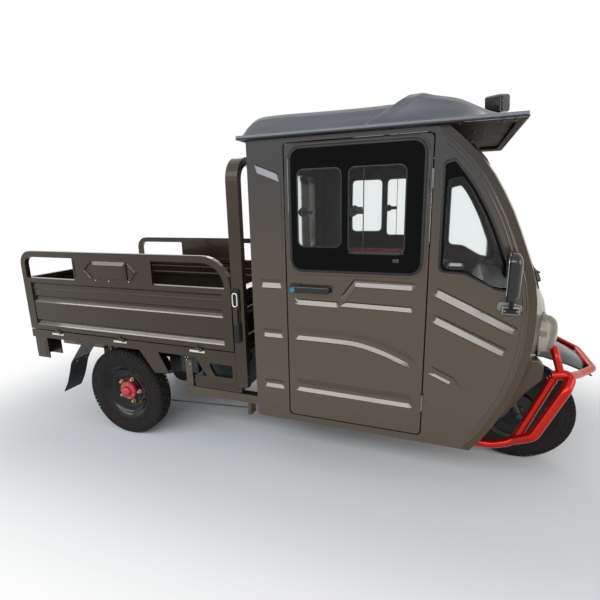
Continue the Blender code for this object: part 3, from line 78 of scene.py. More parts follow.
# Side seam of the cab front: (height, x)
SIDE_SEAM = (
    (0.295, 1.035), (0.370, 1.090), (0.470, 1.145), (0.610, 1.205), (0.780, 1.246), (0.950, 1.254),
    (1.085, 1.237), (1.220, 1.191), (1.390, 1.119), (1.560, 1.014), (1.710, 0.862),
)

# How far the middle of the cab front stands ahead of its seams: (height, bulge)
NOSE_BULGE = (
    (0.295, 0.060), (0.600, 0.105), (0.800, 0.120), (0.900, 0.112), (0.980, 0.080), (1.040, 0.058),
    (1.710, 0.052),
)

# Roof moulding: (x, half width at its foot, half width at its shoulder, height of its top)
ROOF_SECTIONS = (
    (-0.040, 0.540, 0.500, 1.738), (-0.012, 0.535, 0.470, 1.800), (0.050, 0.535, 0.455, 1.832),
    (0.540, 0.535, 0.450, 1.832), (0.600, 0.552, 0.480, 1.856), (0.700, 0.556, 0.485, 1.850),
    (0.800, 0.558, 0.484, 1.844), (0.880, 0.558, 0.482, 1.835), (0.940, 0.558, 0.479, 1.820),
    (1.000, 0.558, 0.476, 1.792), (1.053, 0.557, 0.478, 1.765), (1.110, 0.555, 0.484, 1.748),
    (1.183, 0.552, 0.490, 1.740),
)

# The eye and the long softbox, and how far out from the vehicle's right side each one stands
EYE = (0.959, -2.392, 1.413)
EYE_REACH = 1.842
STRIP = (-2.0, -5.5, 4.4)
STRIP_REACH = 4.95

# Fastener heads 10 mm across: (profile of (radius, height) points, sides) for each part of a head
HEX_FLANGE = ((0.0, -0.001), (0.0068, -0.001), (0.0068, 0.0008), (0.0058, 0.0012))
HEX_HEAD = ((0.0, 0.0), (0.0050, 0.0), (0.0050, 0.0034), (0.0042, 0.0042), (0.0, 0.0044))
DOME = ((0.0, -0.001), (0.0050, -0.001), (0.0050, 0.0006), (0.0040, 0.0020), (0.0020, 0.0028), (0.0, 0.0030))
HEADS = {"hex": ((HEX_FLANGE, 12), (HEX_HEAD, 6)), "dome": ((DOME, 12),)}

PAINTS = {}


# Settings a user would change


class TricyclePaints(PropertyGroup):
    body: FloatVectorProperty(
        name="Body", description="Bronze body paint", subtype="COLOR", size=3, default=(0.066, 0.045, 0.024)
    )
    guard: FloatVectorProperty(
        name="Guard", description="Tube guard", subtype="COLOR", size=3, default=(0.460, 0.012, 0.005)
    )
    lining: FloatVectorProperty(
        name="Lining", description="Door lining vinyl", subtype="COLOR", size=3, default=(0.260, 0.014, 0.012)
    )


class TricycleTyres(PropertyGroup):
    blocks: IntProperty(
        name="Tread blocks", description="Tread cells round a tyre", default=34, min=20, max=80
    )
    depth: FloatProperty(
        name="Tread depth", description="Height of the tread blocks", default=0.008, min=0.002, unit="LENGTH"
    )


class TricycleTrim(PropertyGroup):
    seal: FloatProperty(
        name="Seal width", description="Width of the window rubbers", default=0.012, min=0.004, unit="LENGTH"
    )
    edge: FloatProperty(
        name="Panel edge", description="Rounding of pressed sheet edges", default=0.0022, min=0.0005,
        unit="LENGTH",
    )


# Materials


# Dry road dust, and the near-black grey painted on upper panels as shade under the roof's overhang
DUST = "8a8078"
SHADOW = (0.016, 0.017, 0.019, 1.0)


def linear(code):
    """An sRGB hex colour as linear red, green and blue."""
    parts = [int(code[i : i + 2], 16) / 255 for i in (0, 2, 4)]
    return tuple(p / 12.92 if p <= 0.04045 else ((p + 0.055) / 1.055) ** 2.4 for p in parts)


def add(tree, kind, values=None, links=None, **settings):
    """Adds a node with its settings, its plain socket values and its links."""
    made = tree.nodes.new(kind)
    for name, value in settings.items():
        setattr(made, name, value)
    for socket, value in (values or {}).items():
        made.inputs[socket].default_value = value
    for socket, source in (links or {}).items():
        tree.links.new(source, made.inputs[socket])
    return made


def surface(
    name,
    colour,
    roughness,
    metallic=0.0,
    coat=0.0,
    tone=0.08,
    tone_size=0.12,
    grain=0.0,
    grain_size=0.001,
    dust=0.0,
    specular=0.5,
    stretch=None,
    painted_roof_shade=0.0,
):
    """A finish whose tone, gloss and grain vary at real sizes.

    Dust gathers from 0.62 m down, and a painted shade darkens a panel from 1.00 m up to the roof, where
    asked.
    """
    made = bpy.data.materials.new(name)
    made.use_nodes = True
    tree = made.node_tree
    shader = tree.nodes["Principled BSDF"]
    shader.inputs["Metallic"].default_value = metallic
    shader.inputs["Coat Weight"].default_value = coat
    shader.inputs["Coat Roughness"].default_value = 0.06
    shader.inputs["Specular IOR Level"].default_value = specular
    place = add(tree, "ShaderNodeTexCoord").outputs["Object"]
    # A stretched place draws the tone as long streaks; on the roof these are painted reflections
    if stretch:
        place = add(tree, "ShaderNodeVectorMath", {1: stretch}, {0: place}, operation="MULTIPLY").outputs[0]
    cloud = add(tree, "ShaderNodeTexNoise", {"Scale": 1 / tone_size, "Detail": 5.0}, {"Vector": place})
    dark = (*[max(part * (1 - tone), 0.0) for part in colour], 1.0)
    light = (*[min(part * (1 + tone), 1.0) for part in colour], 1.0)
    shade = add(
        tree,
        "ShaderNodeMix",
        {6: dark, 7: light},
        {0: cloud.outputs["Fac"]},
        data_type="RGBA",
    ).outputs[2]
    gloss = add(
        tree,
        "ShaderNodeMapRange",
        {1: 0.3, 2: 0.7, 3: max(roughness - 0.05, 0.02), 4: min(roughness + 0.07, 1.0)},
        {0: cloud.outputs["Fac"]},
    ).outputs[0]
    if dust:
        split = add(tree, "ShaderNodeSeparateXYZ", None, {0: place})
        low = add(tree, "ShaderNodeMapRange", {1: 0.62, 2: 0.30, 3: 0.0, 4: dust}, {0: split.outputs[2]})
        patch = add(
            tree, "ShaderNodeTexNoise", {"Scale": 18.0, "Detail": 8.0, "Roughness": 0.65}, {"Vector": place}
        )
        amount = add(
            tree, "ShaderNodeMath", None, {0: low.outputs[0], 1: patch.outputs["Fac"]}, operation="MULTIPLY"
        ).outputs[0]
        shade = add(
            tree,
            "ShaderNodeMix",
            {7: (*linear(DUST), 1.0)},
            {0: amount, 6: shade},
            data_type="RGBA",
        ).outputs[2]
    # Painted shade: the colour is mixed towards near-black grey from 1.00 m up, for the shadow under the
    # roof's overhang
    if painted_roof_shade:
        split = add(tree, "ShaderNodeSeparateXYZ", None, {0: place})
        under = add(tree, "ShaderNodeMapRange", {1: 1.00, 2: 1.60, 3: 0.0, 4: painted_roof_shade}, {0: split.outputs[2]})
        shade = add(
            tree,
            "ShaderNodeMix",
            {7: SHADOW},
            {0: under.outputs[0], 6: shade},
            data_type="RGBA",
        ).outputs[2]
    tree.links.new(shade, shader.inputs["Base Color"])
    tree.links.new(gloss, shader.inputs["Roughness"])
    if grain:
        fine = add(tree, "ShaderNodeTexNoise", {"Scale": 1 / grain_size, "Detail": 2.0}, {"Vector": place})
        bump = add(
            tree, "ShaderNodeBump", {"Strength": 0.6, "Distance": grain}, {"Height": fine.outputs["Fac"]}
        )
        tree.links.new(bump.outputs[0], shader.inputs["Normal"])
    return made


def pane(name, colour, roughness=0.02, haze=0.0):
    """Safety glass: tinted in the mass, with faint smears on its skin.

    The IOR is set under glass's 1.5, because each pane here has two skins that both mirror a pale studio.
    """
    made = surface(name, colour, roughness, tone=0.02, tone_size=0.3, specular=0.25)
    shader = made.node_tree.nodes["Principled BSDF"]
    shader.inputs["Transmission Weight"].default_value = 1.0 - haze
    shader.inputs["IOR"].default_value = 1.25
    return made


def mix_finishes(paints):
    """Every finish on the vehicle, named for what the real one is."""
    # Metallic automotive enamel: flake under a clear coat, soft sky reflections, dust near the wheels,
    # and a painted shade, deeper and greyer, under the roof's overhang
    PAINTS["enamel"] = surface(
        "bronze_metallic_enamel", paints.body, 0.27, 0.55, 0.9, tone=0.05, tone_size=0.35, dust=0.10,
        painted_roof_shade=0.85,
    )
    # Same enamel at the blunt front end, where road film has dulled the lacquer, with a lighter painted shade
    # towards the roof
    PAINTS["enamel_front"] = surface(
        "dulled_bronze_enamel", [part * 1.1 for part in paints.body], 0.34, 0.3, 0.35, tone=0.08,
        tone_size=0.2, specular=0.25, painted_roof_shade=0.7,
    )
    # Same enamel on the bed, baked a shade darker
    PAINTS["enamel_bed"] = surface(
        "dark_bronze_metallic_enamel", [part * 0.54 for part in paints.body], 0.27, 0.55, 0.35, tone=0.06,
        tone_size=0.25, dust=0.12,
    )
    # Moulded roof: duller than the enamel, its colour drawn grey-blue as a painted sky reflection, and
    # streaked fore and aft with painted reflections
    PAINTS["roof_coat"] = surface(
        "grey_bronze_gel_coat", linear("55575c"), 0.34, 0.5, 0.5, tone=0.45, tone_size=0.06,
        stretch=(0.12, 1.0, 1.6),
    )
    # Same paint out of the weather, thin and dull
    PAINTS["enamel_inner"] = surface("bronze_primer_coat", linear("42382a"), 0.6, tone=0.25, specular=0.05)
    # Powder coat on tube: even gloss, with an orange peel of about 4 mm
    PAINTS["powder_red"] = surface(
        "red_powder_coat", paints.guard, 0.26, 0.55, 0.08, tone=0.10, specular=0.3, tone_size=0.08,
        grain=0.0004, grain_size=0.004,
    )
    # Enamel sprayed on cast hub caps: smooth, with a soft clear highlight
    PAINTS["cap_red"] = surface("red_cap_enamel", linear("c4142c"), 0.28, 0.0, 0.6, tone=0.12, tone_size=0.03)
    # Stove enamel baked on pressed steel wheels: hard and evenly glossy
    PAINTS["wheel_black"] = surface(
        "black_stove_enamel", linear("080707"), 0.20, 0.0, 0.0, tone=0.25, tone_size=0.05, dust=0.02,
        specular=0.3,
    )
    # Chassis paint, brushed over mill scale: satin, with 3 mm brush marks
    PAINTS["chassis_black"] = surface(
        "black_chassis_paint", linear("1a1918"), 0.5, 0.0, 0.1, tone=0.3, grain=0.0004, grain_size=0.003,
        dust=0.15,
    )
    # Moulded ABS with a spark-eroded grain. The real grain is about 0.1 mm and is drawn at 1.2 mm, to show
    PAINTS["abs_black"] = surface(
        "grained_black_abs", linear("161617"), 0.48, tone=0.10, grain=0.0003, grain_size=0.0012, specular=0.3
    )
    # Polished ABS, as on mirror shells and the lamp: a clear, hard highlight
    PAINTS["abs_gloss"] = surface(
        "polished_black_abs", linear("0f0f10"), 0.16, 0.0, 0.2, tone=0.08, specular=0.4
    )
    # Vulcanised tyre rubber with road dust: matt, with 2 mm scuffs
    PAINTS["tyre"] = surface(
        "vulcanised_tyre_rubber", linear("14110f"), 0.72, tone=0.30, tone_size=0.03, grain=0.0004,
        grain_size=0.002, dust=0.05, specular=0.22,
    )
    # Extruded EPDM window rubber: matt black, a line round each pane
    PAINTS["seal"] = surface("epdm_window_rubber", linear("141414"), 0.62, tone=0.15, tone_size=0.04)
    # Safety glass with a trace of smoke tint: dark where the cab is dark behind it
    PAINTS["smoke_glass"] = pane("smoke_tinted_safety_glass", linear("f3f6f6"))
    # Laminated windscreen, nearly clear with a trace of green
    PAINTS["screen_glass"] = pane("laminated_windscreen_glass", linear("f2f7f5"))
    # Ceramic band fired on glass: black and as glossy as the glass
    PAINTS["frit"] = surface("black_ceramic_frit", linear("020303"), 0.05, tone=0.05, specular=0.08)
    # Clear polycarbonate lens, moulded smooth
    PAINTS["lens"] = pane("clear_polycarbonate_lens", linear("f2f5f5"), 0.03)
    # Fluted headlight glass, dulled by road dust
    PAINTS["head_lens"] = pane("fluted_headlight_glass", linear("beb6a8"), 0.12, 0.38)
    # Vacuum-metallised reflector: a soft, warm mirror behind the lens
    PAINTS["reflector"] = surface("vacuum_metallised_reflector", linear("7d7971"), 0.30, 1.0, tone=0.12)
    # Acrylic of the rear lamps, whose fine inner ribs show as an even, deep red
    PAINTS["lamp_red"] = surface(
        "red_ribbed_acrylic", linear("8e0f10"), 0.10, 0.0, 0.5, tone=0.1, tone_size=0.02
    )
    # Zinc plate, passivated: pale with a faint yellow cast
    PAINTS["zinc"] = surface("passivated_zinc_plate", linear("dedbd0"), 0.34, 0.75, tone=0.16, tone_size=0.01)
    # Rolled steel hinge, painted over and rubbed back to a grey, patchy metal
    # The same grey steel draws the painted highlight lines along the stamped plates' chevrons
    PAINTS["hinge"] = surface("worn_hinge_steel", linear("85807a"), 0.36, 0.7, tone=0.2, tone_size=0.01)
    # Steel bolts dipped in yellow chromate: a warm, uneven metal
    PAINTS["bolt"] = surface(
        "yellow_passivated_steel", linear("b79a72"), 0.38, 0.85, tone=0.22, tone_size=0.004
    )
    # Anodised lock barrel: a small blue glint
    PAINTS["lock_blue"] = surface(
        "blue_anodised_barrel", linear("3f87a6"), 0.25, 0.6, tone=0.1, tone_size=0.01
    )
    # Silvered mirror glass: sharp and colourless
    PAINTS["mirror"] = surface("silvered_mirror_glass", linear("cfd4d6"), 0.03, 1.0, tone=0.02)
    # Calendered PVC on foam. Its leather-like grain is about 1 mm and is drawn at 2.5 mm, to show
    PAINTS["vinyl"] = surface(
        "grained_black_vinyl", linear("232223"), 0.46, tone=0.12, grain=0.0006, grain_size=0.0025
    )
    # Same PVC in red for the door linings, with its grain drawn at 2.5 mm too
    PAINTS["lining"] = surface(
        "grained_red_vinyl", paints.lining, 0.5, tone=0.15, grain=0.0006, grain_size=0.0025
    )
    # Moulded battery and controller cases: satin, with a fine grain
    PAINTS["case_teal"] = surface("moulded_teal_case", linear("0a1718"), 0.5, tone=0.2, grain=0.0003)
    # Thermoformed mudguard sheet: smooth grey-black with a wide highlight
    PAINTS["guard_grey"] = surface(
        "thermoformed_grey_abs", linear("1b1c1d"), 0.22, 0.0, 0.2, tone=0.10, specular=0.35
    )
    # Cast housings under black paint, with the sand's 2 mm grain
    PAINTS["cast"] = surface(
        "painted_cast_housing", linear("2b2a28"), 0.5, 0.2, tone=0.2, grain=0.0006, grain_size=0.002,
        dust=0.15,
    )
    # Rust-filmed shackle plates: brown and dull
    PAINTS["shackle"] = surface("rust_filmed_steel", linear("6a4f30"), 0.6, 0.3, tone=0.3, tone_size=0.02)
    # Leaf spring steel, painted and worn through at the leaves' edges
    PAINTS["spring"] = surface(
        "painted_spring_steel", linear("4c4238"), 0.5, 0.3, tone=0.3, tone_size=0.02, dust=0.15
    )


# Shapes


def linked(name, data):
    """A new object in the scene, at the origin."""
    made = bpy.data.objects.new(name, data)
    bpy.context.scene.collection.objects.link(made)
    return made


def baked(made):
    """An object's mesh as its modifiers leave it."""
    bpy.context.view_layer.update()
    return bpy.data.meshes.new_from_object(made.evaluated_get(bpy.context.evaluated_depsgraph_get()))


class Form:
    """One piece under construction: closed shells, each with its own finish."""

    def __init__(self, name):
        self.name = name
        self.work = bmesh.new()
        self.finishes = []

    def index(self, finish):
        if finish not in self.finishes:
            self.finishes.append(finish)
        return self.finishes.index(finish)

    def shell(self, points, faces, finish):
        verts = [self.work.verts.new(point) for point in points]
        number = self.index(finish)
        made = []
        for face in faces:
            made.append(self.work.faces.new([verts[i] for i in face]))
            made[-1].material_index = number
        return verts, made

    def take(self, mesh, finish):
        """Adds another mesh's faces, with one finish."""
        number = self.index(finish)
        before = set(self.work.faces)
        self.work.from_mesh(mesh)
        for face in self.work.faces:
            if face not in before:
                face.material_index = number

    def flat_normals(self, soft):
        """A shading normal for each face corner, ruled by the largest faces so that flat sheet looks flat."""
        limit = math.cos(math.radians(soft))
        weight = {face: face.normal * face.calc_area() for face in self.work.faces}
        normals = []
        for face in self.work.faces:
            own = face.normal
            for vert in face.verts:
                total = Vector()
                for other in vert.link_faces:
                    if own.dot(other.normal) > limit:
                        total += weight[other]
                normals.append(total.normalized() if total.length > 1e-14 else own)
        return normals

    def dress(self, body, replaces=(), soft=35.0, exact=True):
        """Ends the piece as an object that rides on a body."""
        bmesh.ops.remove_doubles(self.work, verts=self.work.verts, dist=0.000005)
        bmesh.ops.recalc_face_normals(self.work, faces=self.work.faces)
        mesh = bpy.data.meshes.new(self.name)
        normals = self.flat_normals(soft) if exact else None
        self.work.to_mesh(mesh)
        self.work.free()
        for finish in self.finishes:
            mesh.materials.append(PAINTS[finish])
        mesh.shade_smooth()
        mesh.set_sharp_from_angle(angle=math.radians(soft))
        if normals:
            mesh.normals_split_custom_set(normals)
        return settle(linked(self.name, mesh), body, replaces)


def settle(made, body, replaces=()):
    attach(made, body)
    if replaces:
        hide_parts(*replaces)
    return made


def steps(first, last, count):
    return [first + (last - first) * i / (count - 1) for i in range(count)]


def smooth(table, at):
    """Value of a two-column table, by a cubic through its rows."""
    rows = len(table)
    if at <= table[0][0]:
        return table[0][1]
    if at >= table[-1][0]:
        return table[-1][1]
    row = max(i for i in range(rows - 1) if table[i][0] <= at)

    def slope(i):
        low = max(i - 1, 0)
        high = min(i + 1, rows - 1)
        return (table[high][1] - table[low][1]) / (table[high][0] - table[low][0])

    span = table[row + 1][0] - table[row][0]
    t = (at - table[row][0]) / span
    a = (1 + 2 * t) * (1 - t) ** 2
    b = t * (1 - t) ** 2 * span
    c = t * t * (3 - 2 * t)
    d = t * t * (t - 1) * span
    return a * table[row][1] + b * slope(row) + c * table[row + 1][1] + d * slope(row + 1)


def ease(low, high, at):
    t = min(max((at - low) / (high - low), 0.0), 1.0)
    return t * t * (3 - 2 * t)


def slerp(first, last, t):
    angle = first.angle(last)
    part = math.sin((1 - t) * angle) * first + math.sin(t * angle) * last
    return part / math.sin(angle)


def rounded(corners, facets=10):
    """An outline with an arc at each corner; corners are (u, v) or (u, v, radius)."""
    points = []
    count = len(corners)
    for i, corner in enumerate(corners):
        here = Vector(corner[:2])
        if len(corner) == 2:
            points.append(tuple(here))
            continue
        before = (Vector(corners[i - 1][:2]) - here).normalized()
        after = (Vector(corners[(i + 1) % count][:2]) - here).normalized()
        half = before.angle(after) / 2
        reach = corner[2] / math.tan(half)
        centre = here + (before + after).normalized() * corner[2] / math.sin(half)
        first = here + before * reach - centre
        last = here + after * reach - centre
        points += [tuple(centre + slerp(first, last, t)) for t in steps(0.0, 1.0, facets + 1)]
    return points


def oblong(us, vs, radius, facets=10):
    corners = [(us[0], vs[0]), (us[1], vs[0]), (us[1], vs[1]), (us[0], vs[1])]
    return rounded([(*corner, radius) for corner in corners], facets)


def filleted(points, radius, facets=8):
    """A 3D path with an arc at each inner corner."""
    points = [Vector(point) for point in points]
    path = [points[0]]
    for before, here, after in zip(points, points[1:], points[2:]):
        back = (before - here).normalized()
        ahead = (after - here).normalized()
        half = back.angle(ahead) / 2
        reach = min(radius / math.tan(half), (before - here).length * 0.49, (after - here).length * 0.49)
        centre = here + (back + ahead).normalized() * reach / math.cos(half)
        first = here + back * reach - centre
        last = here + ahead * reach - centre
        path += [centre + slerp(first, last, t) for t in steps(0.0, 1.0, facets + 1)]
    path.append(points[-1])
    return path


def block(form, xs, ys, zs, finish, edge=0.001, rounds=2):
    """A box with rounded edges."""
    corners = [(x, y, z) for x in sorted(xs) for y in sorted(ys) for z in sorted(zs)]
    faces = ((0, 1, 3, 2), (4, 6, 7, 5), (0, 4, 5, 1), (2, 3, 7, 6), (0, 2, 6, 4), (1, 5, 7, 3))
    _, made = form.shell(corners, faces, finish)
    if edge:
        edges = list(dict.fromkeys(rim for face in made for rim in face.edges))
        bmesh.ops.bevel(
            form.work, geom=edges, offset=edge, segments=rounds, profile=0.5, affect="EDGES",
            clamp_overlap=True,
        )


def sweep(form, path, section, finish, closed=False, up=(0, 0, 1)):
    """Carries a closed section of (side, up) points along a path."""
    path = [Vector(point) for point in path]
    count = len(path)
    up = Vector(up)
    points = []
    for i, here in enumerate(path):
        before = path[i - 1] if closed or i > 0 else here
        after = path[(i + 1) % count] if closed or i < count - 1 else here
        along = (after - before).normalized()
        side = along.cross(up)
        side = side.normalized() if side.length > 1e-6 else Vector((0, 1, 0))
        over = side.cross(along).normalized()
        points += [here + side * u + over * v for u, v in section]
    size = len(section)
    faces = []
    for i in range(count if closed else count - 1):
        j = (i + 1) % count
        for k in range(size):
            m = (k + 1) % size
            faces.append((i * size + k, i * size + m, j * size + m, j * size + k))
    if not closed:
        faces.append(tuple(range(size)))
        faces.append(tuple(range((count - 1) * size, count * size))[::-1])
    form.shell(points, faces, finish)


def disc(radius, sides):
    """A circle as a section for sweep."""
    angles = [math.tau * i / sides for i in range(sides)]
    return [(radius * math.cos(angle), radius * math.sin(angle)) for angle in angles]


def tube(form, path, radius, finish, sides=16, closed=False, up=(0.02, 0.01, 1)):
    """A round bar along a path."""
    sweep(form, path, disc(radius, sides), finish, closed, up)


def rod(form, start, end, radius, finish, sides=24, edge=0.0008):
    """A cylinder between two points, with its rims rounded off."""
    start = Vector(start)
    end = Vector(end)
    length = (end - start).length
    edge = min(edge, radius * 0.4, length * 0.3)
    profile = [
        (0.0, 0.0), (radius - edge, 0.0), (radius, edge), (radius, length - edge), (radius - edge, length),
        (0.0, length),
    ]
    lathe(form, profile, start, end - start, finish, sides)


def lathe(form, profile, origin, axis, finish, sides=48, closed=False):
    """Turns (radius, along) points about an axis."""
    origin = Vector(origin)
    along = Vector(axis).normalized()
    side = along.orthogonal().normalized()
    other = along.cross(side)
    points = []
    starts = []
    for radius, reach in profile:
        starts.append(len(points))
        turns = 1 if radius < 1e-7 else sides
        for i in range(turns):
            angle = math.tau * i / sides
            points.append(
                origin + along * reach + (side * math.cos(angle) + other * math.sin(angle)) * radius
            )
    faces = []
    rows = list(range(len(profile)))
    pairs = list(zip(rows, rows[1:] + rows[:1])) if closed else list(zip(rows, rows[1:]))
    for low, high in pairs:
        low_pole = profile[low][0] < 1e-7
        high_pole = profile[high][0] < 1e-7
        for i in range(sides):
            j = (i + 1) % sides
            if low_pole and high_pole:
                continue
            if low_pole:
                faces.append((starts[low], starts[high] + j, starts[high] + i))
            elif high_pole:
                faces.append((starts[low] + i, starts[low] + j, starts[high]))
            else:
                faces.append((starts[low] + i, starts[low] + j, starts[high] + j, starts[high] + i))
    form.shell(points, faces, finish)


def thick(path, gauge):
    """Gives a 2D line a sheet's thickness, as a closed outline."""
    line = [Vector(point) for point in path]
    back = []
    for i, here in enumerate(line):
        before = line[max(i - 1, 0)]
        after = line[min(i + 1, len(line) - 1)]
        along = (after - before).normalized()
        back.append(here + Vector((along.y, -along.x)) * gauge)
    return [tuple(point) for point in line + back[::-1]]


def rows_shell(form, rows, finish):
    """A closed shell through equal rows of points, capped at both ends."""
    size = len(rows[0])
    last = (len(rows) - 1) * size
    faces = [tuple(range(size)), tuple(range(last, last + size))[::-1]]
    for r in range(len(rows) - 1):
        for k in range(size):
            m = (k + 1) % size
            faces.append((r * size + k, r * size + m, (r + 1) * size + m, (r + 1) * size + k))
    form.shell([point for row in rows for point in row], faces, finish)


def raised(form, base, crest, side, ys, finish):
    """A stamped rise on a side face: sloped walls between two (x, z) outlines of equal count."""
    rows = []
    for outline, y in ((base, ys[0]), (base, ys[1]), (crest, ys[2])):
        rows.append([Vector((x, side * y, z)) for x, z in outline])
    rows_shell(form, rows, finish)


def press(form, line, side, tall, lift):
    """The upward facet of a pressed crease, run along its valley of (x, z) points.

    Its lean is the one at which the eye sees the long softbox in it, so that it shines as in the photograph.
    """
    rows = []
    last = len(line) - 1
    for i, (x, z) in enumerate(line):
        crest = lift if 0 < i < last else min(lift - 0.006, -0.0030)
        before, after = Vector(line[max(i - 1, 0)]), Vector(line[min(i + 1, last)])
        along = (after - before).normalized()
        lean = 0.5 * (math.atan((STRIP[2] - z) / STRIP_REACH) + math.atan((EYE[2] - z) / EYE_REACH))
        valley = crest - tall * math.tan(lean)
        section = ((valley, 0.0), (crest, tall), (crest - 0.0008, tall + 0.0015), (-0.0060, tall + 0.011))
        section += ((-0.0120, 0.5 * tall),)
        rows.append(
            [Vector((x + along.y * d, side * (HALF_WIDTH + out), z - along.x * d)) for out, d in section]
        )
    rows_shell(form, rows, "enamel")


PLANES = {
    "X": Matrix(((0, 0, 1, 0), (1, 0, 0, 0), (0, 1, 0, 0), (0, 0, 0, 1))),
    "Y": Matrix(((1, 0, 0, 0), (0, 0, -1, 0), (0, 1, 0, 0), (0, 0, 0, 1))),
    "Z": Matrix.Identity(4),
}


def plate(form, outline, span, across, finish, edge=0.0008, holes=(), rounds=1):
    """A flat outline given thickness across X, Y or Z, with its rims rounded."""
    curve = bpy.data.curves.new("outline", "CURVE")
    curve.dimensions = "2D"
    curve.fill_mode = "BOTH"
    gauge = abs(span[1] - span[0])
    edge = min(edge, gauge * 0.3)
    curve.extrude = gauge / 2 - edge
    curve.bevel_depth = edge
    curve.bevel_resolution = rounds
    curve.offset = -edge
    for loop in (outline, *holes):
        line = curve.splines.new("POLY")
        line.points.add(len(loop) - 1)
        line.use_cyclic_u = True
        for point, (u, v) in zip(line.points, loop):
            point.co = (u, v, 0, 1)
    made = linked("outline", curve)
    mesh = baked(made)
    bpy.data.objects.remove(made, do_unlink=True)
    middle = (span[0] + span[1]) / 2
    move = {"X": (middle, 0, 0), "Y": (0, middle, 0), "Z": (0, 0, middle)}[across]
    mesh.transform(Matrix.Translation(move) @ PLANES[across])
    form.take(mesh, finish)


def word(side):
    return "left" if side > 0 else "right"


def sided(side, first, second):
    """A span of y on the given side, smaller end first."""
    return tuple(sorted((side * first, side * second)))


def axis_point(along):
    """A point on the steering axis, a distance up from the height of the axle."""
    return Vector(
        (FRONT_AXLE_X - TRAIL_X - along * math.sin(RAKE), 0.0, TYRE_RADIUS + along * math.cos(RAKE))
    )


# Node trees for what repeats


def tree_with(name, sockets):
    """A geometry node tree with named inputs: (name, kind, default)."""
    tree = bpy.data.node_groups.new(name, "GeometryNodeTree")
    for label, kind, default in sockets:
        socket = tree.interface.new_socket(label, in_out="INPUT", socket_type=kind)
        if default is not None:
            socket.default_value = default
    tree.interface.new_socket("Geometry", in_out="OUTPUT", socket_type="NodeSocketGeometry")
    return tree


def ended(tree, given, copies):
    """Makes the copies real, paints them and closes the tree."""
    real = add(tree, "GeometryNodeRealizeInstances", None, {"Geometry": copies.outputs[0]})
    links = {"Geometry": real.outputs[0], "Material": given.outputs["Finish"]}
    painted = add(tree, "GeometryNodeSetMaterial", None, links)
    add(tree, "NodeGroupOutput", None, {"Geometry": painted.outputs[0]})
    return tree


def ring_tree():
    """Copies of a cell turned about the Y axis through a centre."""
    tree = tree_with(
        "Ring of copies",
        (
            ("Geometry", "NodeSocketGeometry", None),
            ("Cell", "NodeSocketObject", None),
            ("Count", "NodeSocketInt", 6),
            ("Start", "NodeSocketFloat", 0.0),
            ("Centre", "NodeSocketVector", None),
            ("Finish", "NodeSocketMaterial", None),
        ),
    )
    given = add(tree, "NodeGroupInput")
    line = add(tree, "GeometryNodeMeshLine", {"Offset": (0, 0, 0)}, {"Count": given.outputs["Count"]})
    cell = add(tree, "GeometryNodeObjectInfo", None, {"Object": given.outputs["Cell"]})
    share = add(tree, "ShaderNodeMath", {0: math.tau}, {1: given.outputs["Count"]}, operation="DIVIDE")
    turn = add(
        tree,
        "ShaderNodeMath",
        None,
        {0: add(tree, "GeometryNodeInputIndex").outputs[0], 1: share.outputs[0], 2: given.outputs["Start"]},
        operation="MULTIPLY_ADD",
    )
    angles = add(tree, "ShaderNodeCombineXYZ", None, {"Y": turn.outputs[0]})
    copies = add(
        tree,
        "GeometryNodeInstanceOnPoints",
        None,
        {"Points": line.outputs[0], "Instance": cell.outputs["Geometry"], "Rotation": angles.outputs[0]},
    )
    placed = add(
        tree,
        "GeometryNodeTransform",
        None,
        {"Geometry": copies.outputs[0], "Translation": given.outputs["Centre"]},
    )
    return ended(tree, given, placed)


def spots_tree():
    """Copies of a fastener on points, each turned to the direction stored at its point."""
    tree = tree_with(
        "Fasteners on spots",
        (
            ("Geometry", "NodeSocketGeometry", None),
            ("Cell", "NodeSocketObject", None),
            ("Size", "NodeSocketFloat", 1.0),
            ("Finish", "NodeSocketMaterial", None),
        ),
    )
    given = add(tree, "NodeGroupInput")
    cell = add(tree, "GeometryNodeObjectInfo", None, {"Object": given.outputs["Cell"]})
    way = add(tree, "GeometryNodeInputNamedAttribute", {"Name": "way"}, data_type="FLOAT_VECTOR")
    turn = add(tree, "FunctionNodeAlignRotationToVector", None, {"Vector": way.outputs[0]}, axis="Z")
    copies = add(
        tree,
        "GeometryNodeInstanceOnPoints",
        None,
        {
            "Points": given.outputs["Geometry"],
            "Instance": cell.outputs["Geometry"],
            "Rotation": turn.outputs[0],
            "Scale": given.outputs["Size"],
        },
    )
    return ended(tree, given, copies)


def grown(name, base, tree, values, soft=35.0):
    """Runs a node tree on a mesh and returns the result as a plain mesh object."""
    made = linked(name + "_base", base)
    modifier = made.modifiers.new("nodes", "NODES")
    modifier.node_group = tree
    for item in tree.interface.items_tree:
        if item.item_type == "SOCKET" and item.in_out == "INPUT" and item.name in values:
            modifier[item.identifier] = values[item.name]
    mesh = baked(made)
    bpy.data.objects.remove(made, do_unlink=True)
    mesh.shade_smooth()
    mesh.set_sharp_from_angle(angle=math.radians(soft))
    return linked(name, mesh)


def loose(form):
    """A form as an object used only as the cell of a node tree."""
    bmesh.ops.recalc_face_normals(form.work, faces=form.work.faces)
    mesh = bpy.data.meshes.new(form.name)
    form.work.to_mesh(mesh)
    form.work.free()
    return linked(form.name, mesh)


def ring(name, form, count, centre, finish, body, soft):
    """A cell repeated round the Y axis through a centre."""
    cell = loose(form)
    values = {"Cell": cell, "Count": count, "Centre": centre, "Finish": PAINTS[finish]}
    made = grown(name, bpy.data.meshes.new(name), RING, values, soft)
    bpy.data.objects.remove(cell, do_unlink=True)
    return settle(made, body)


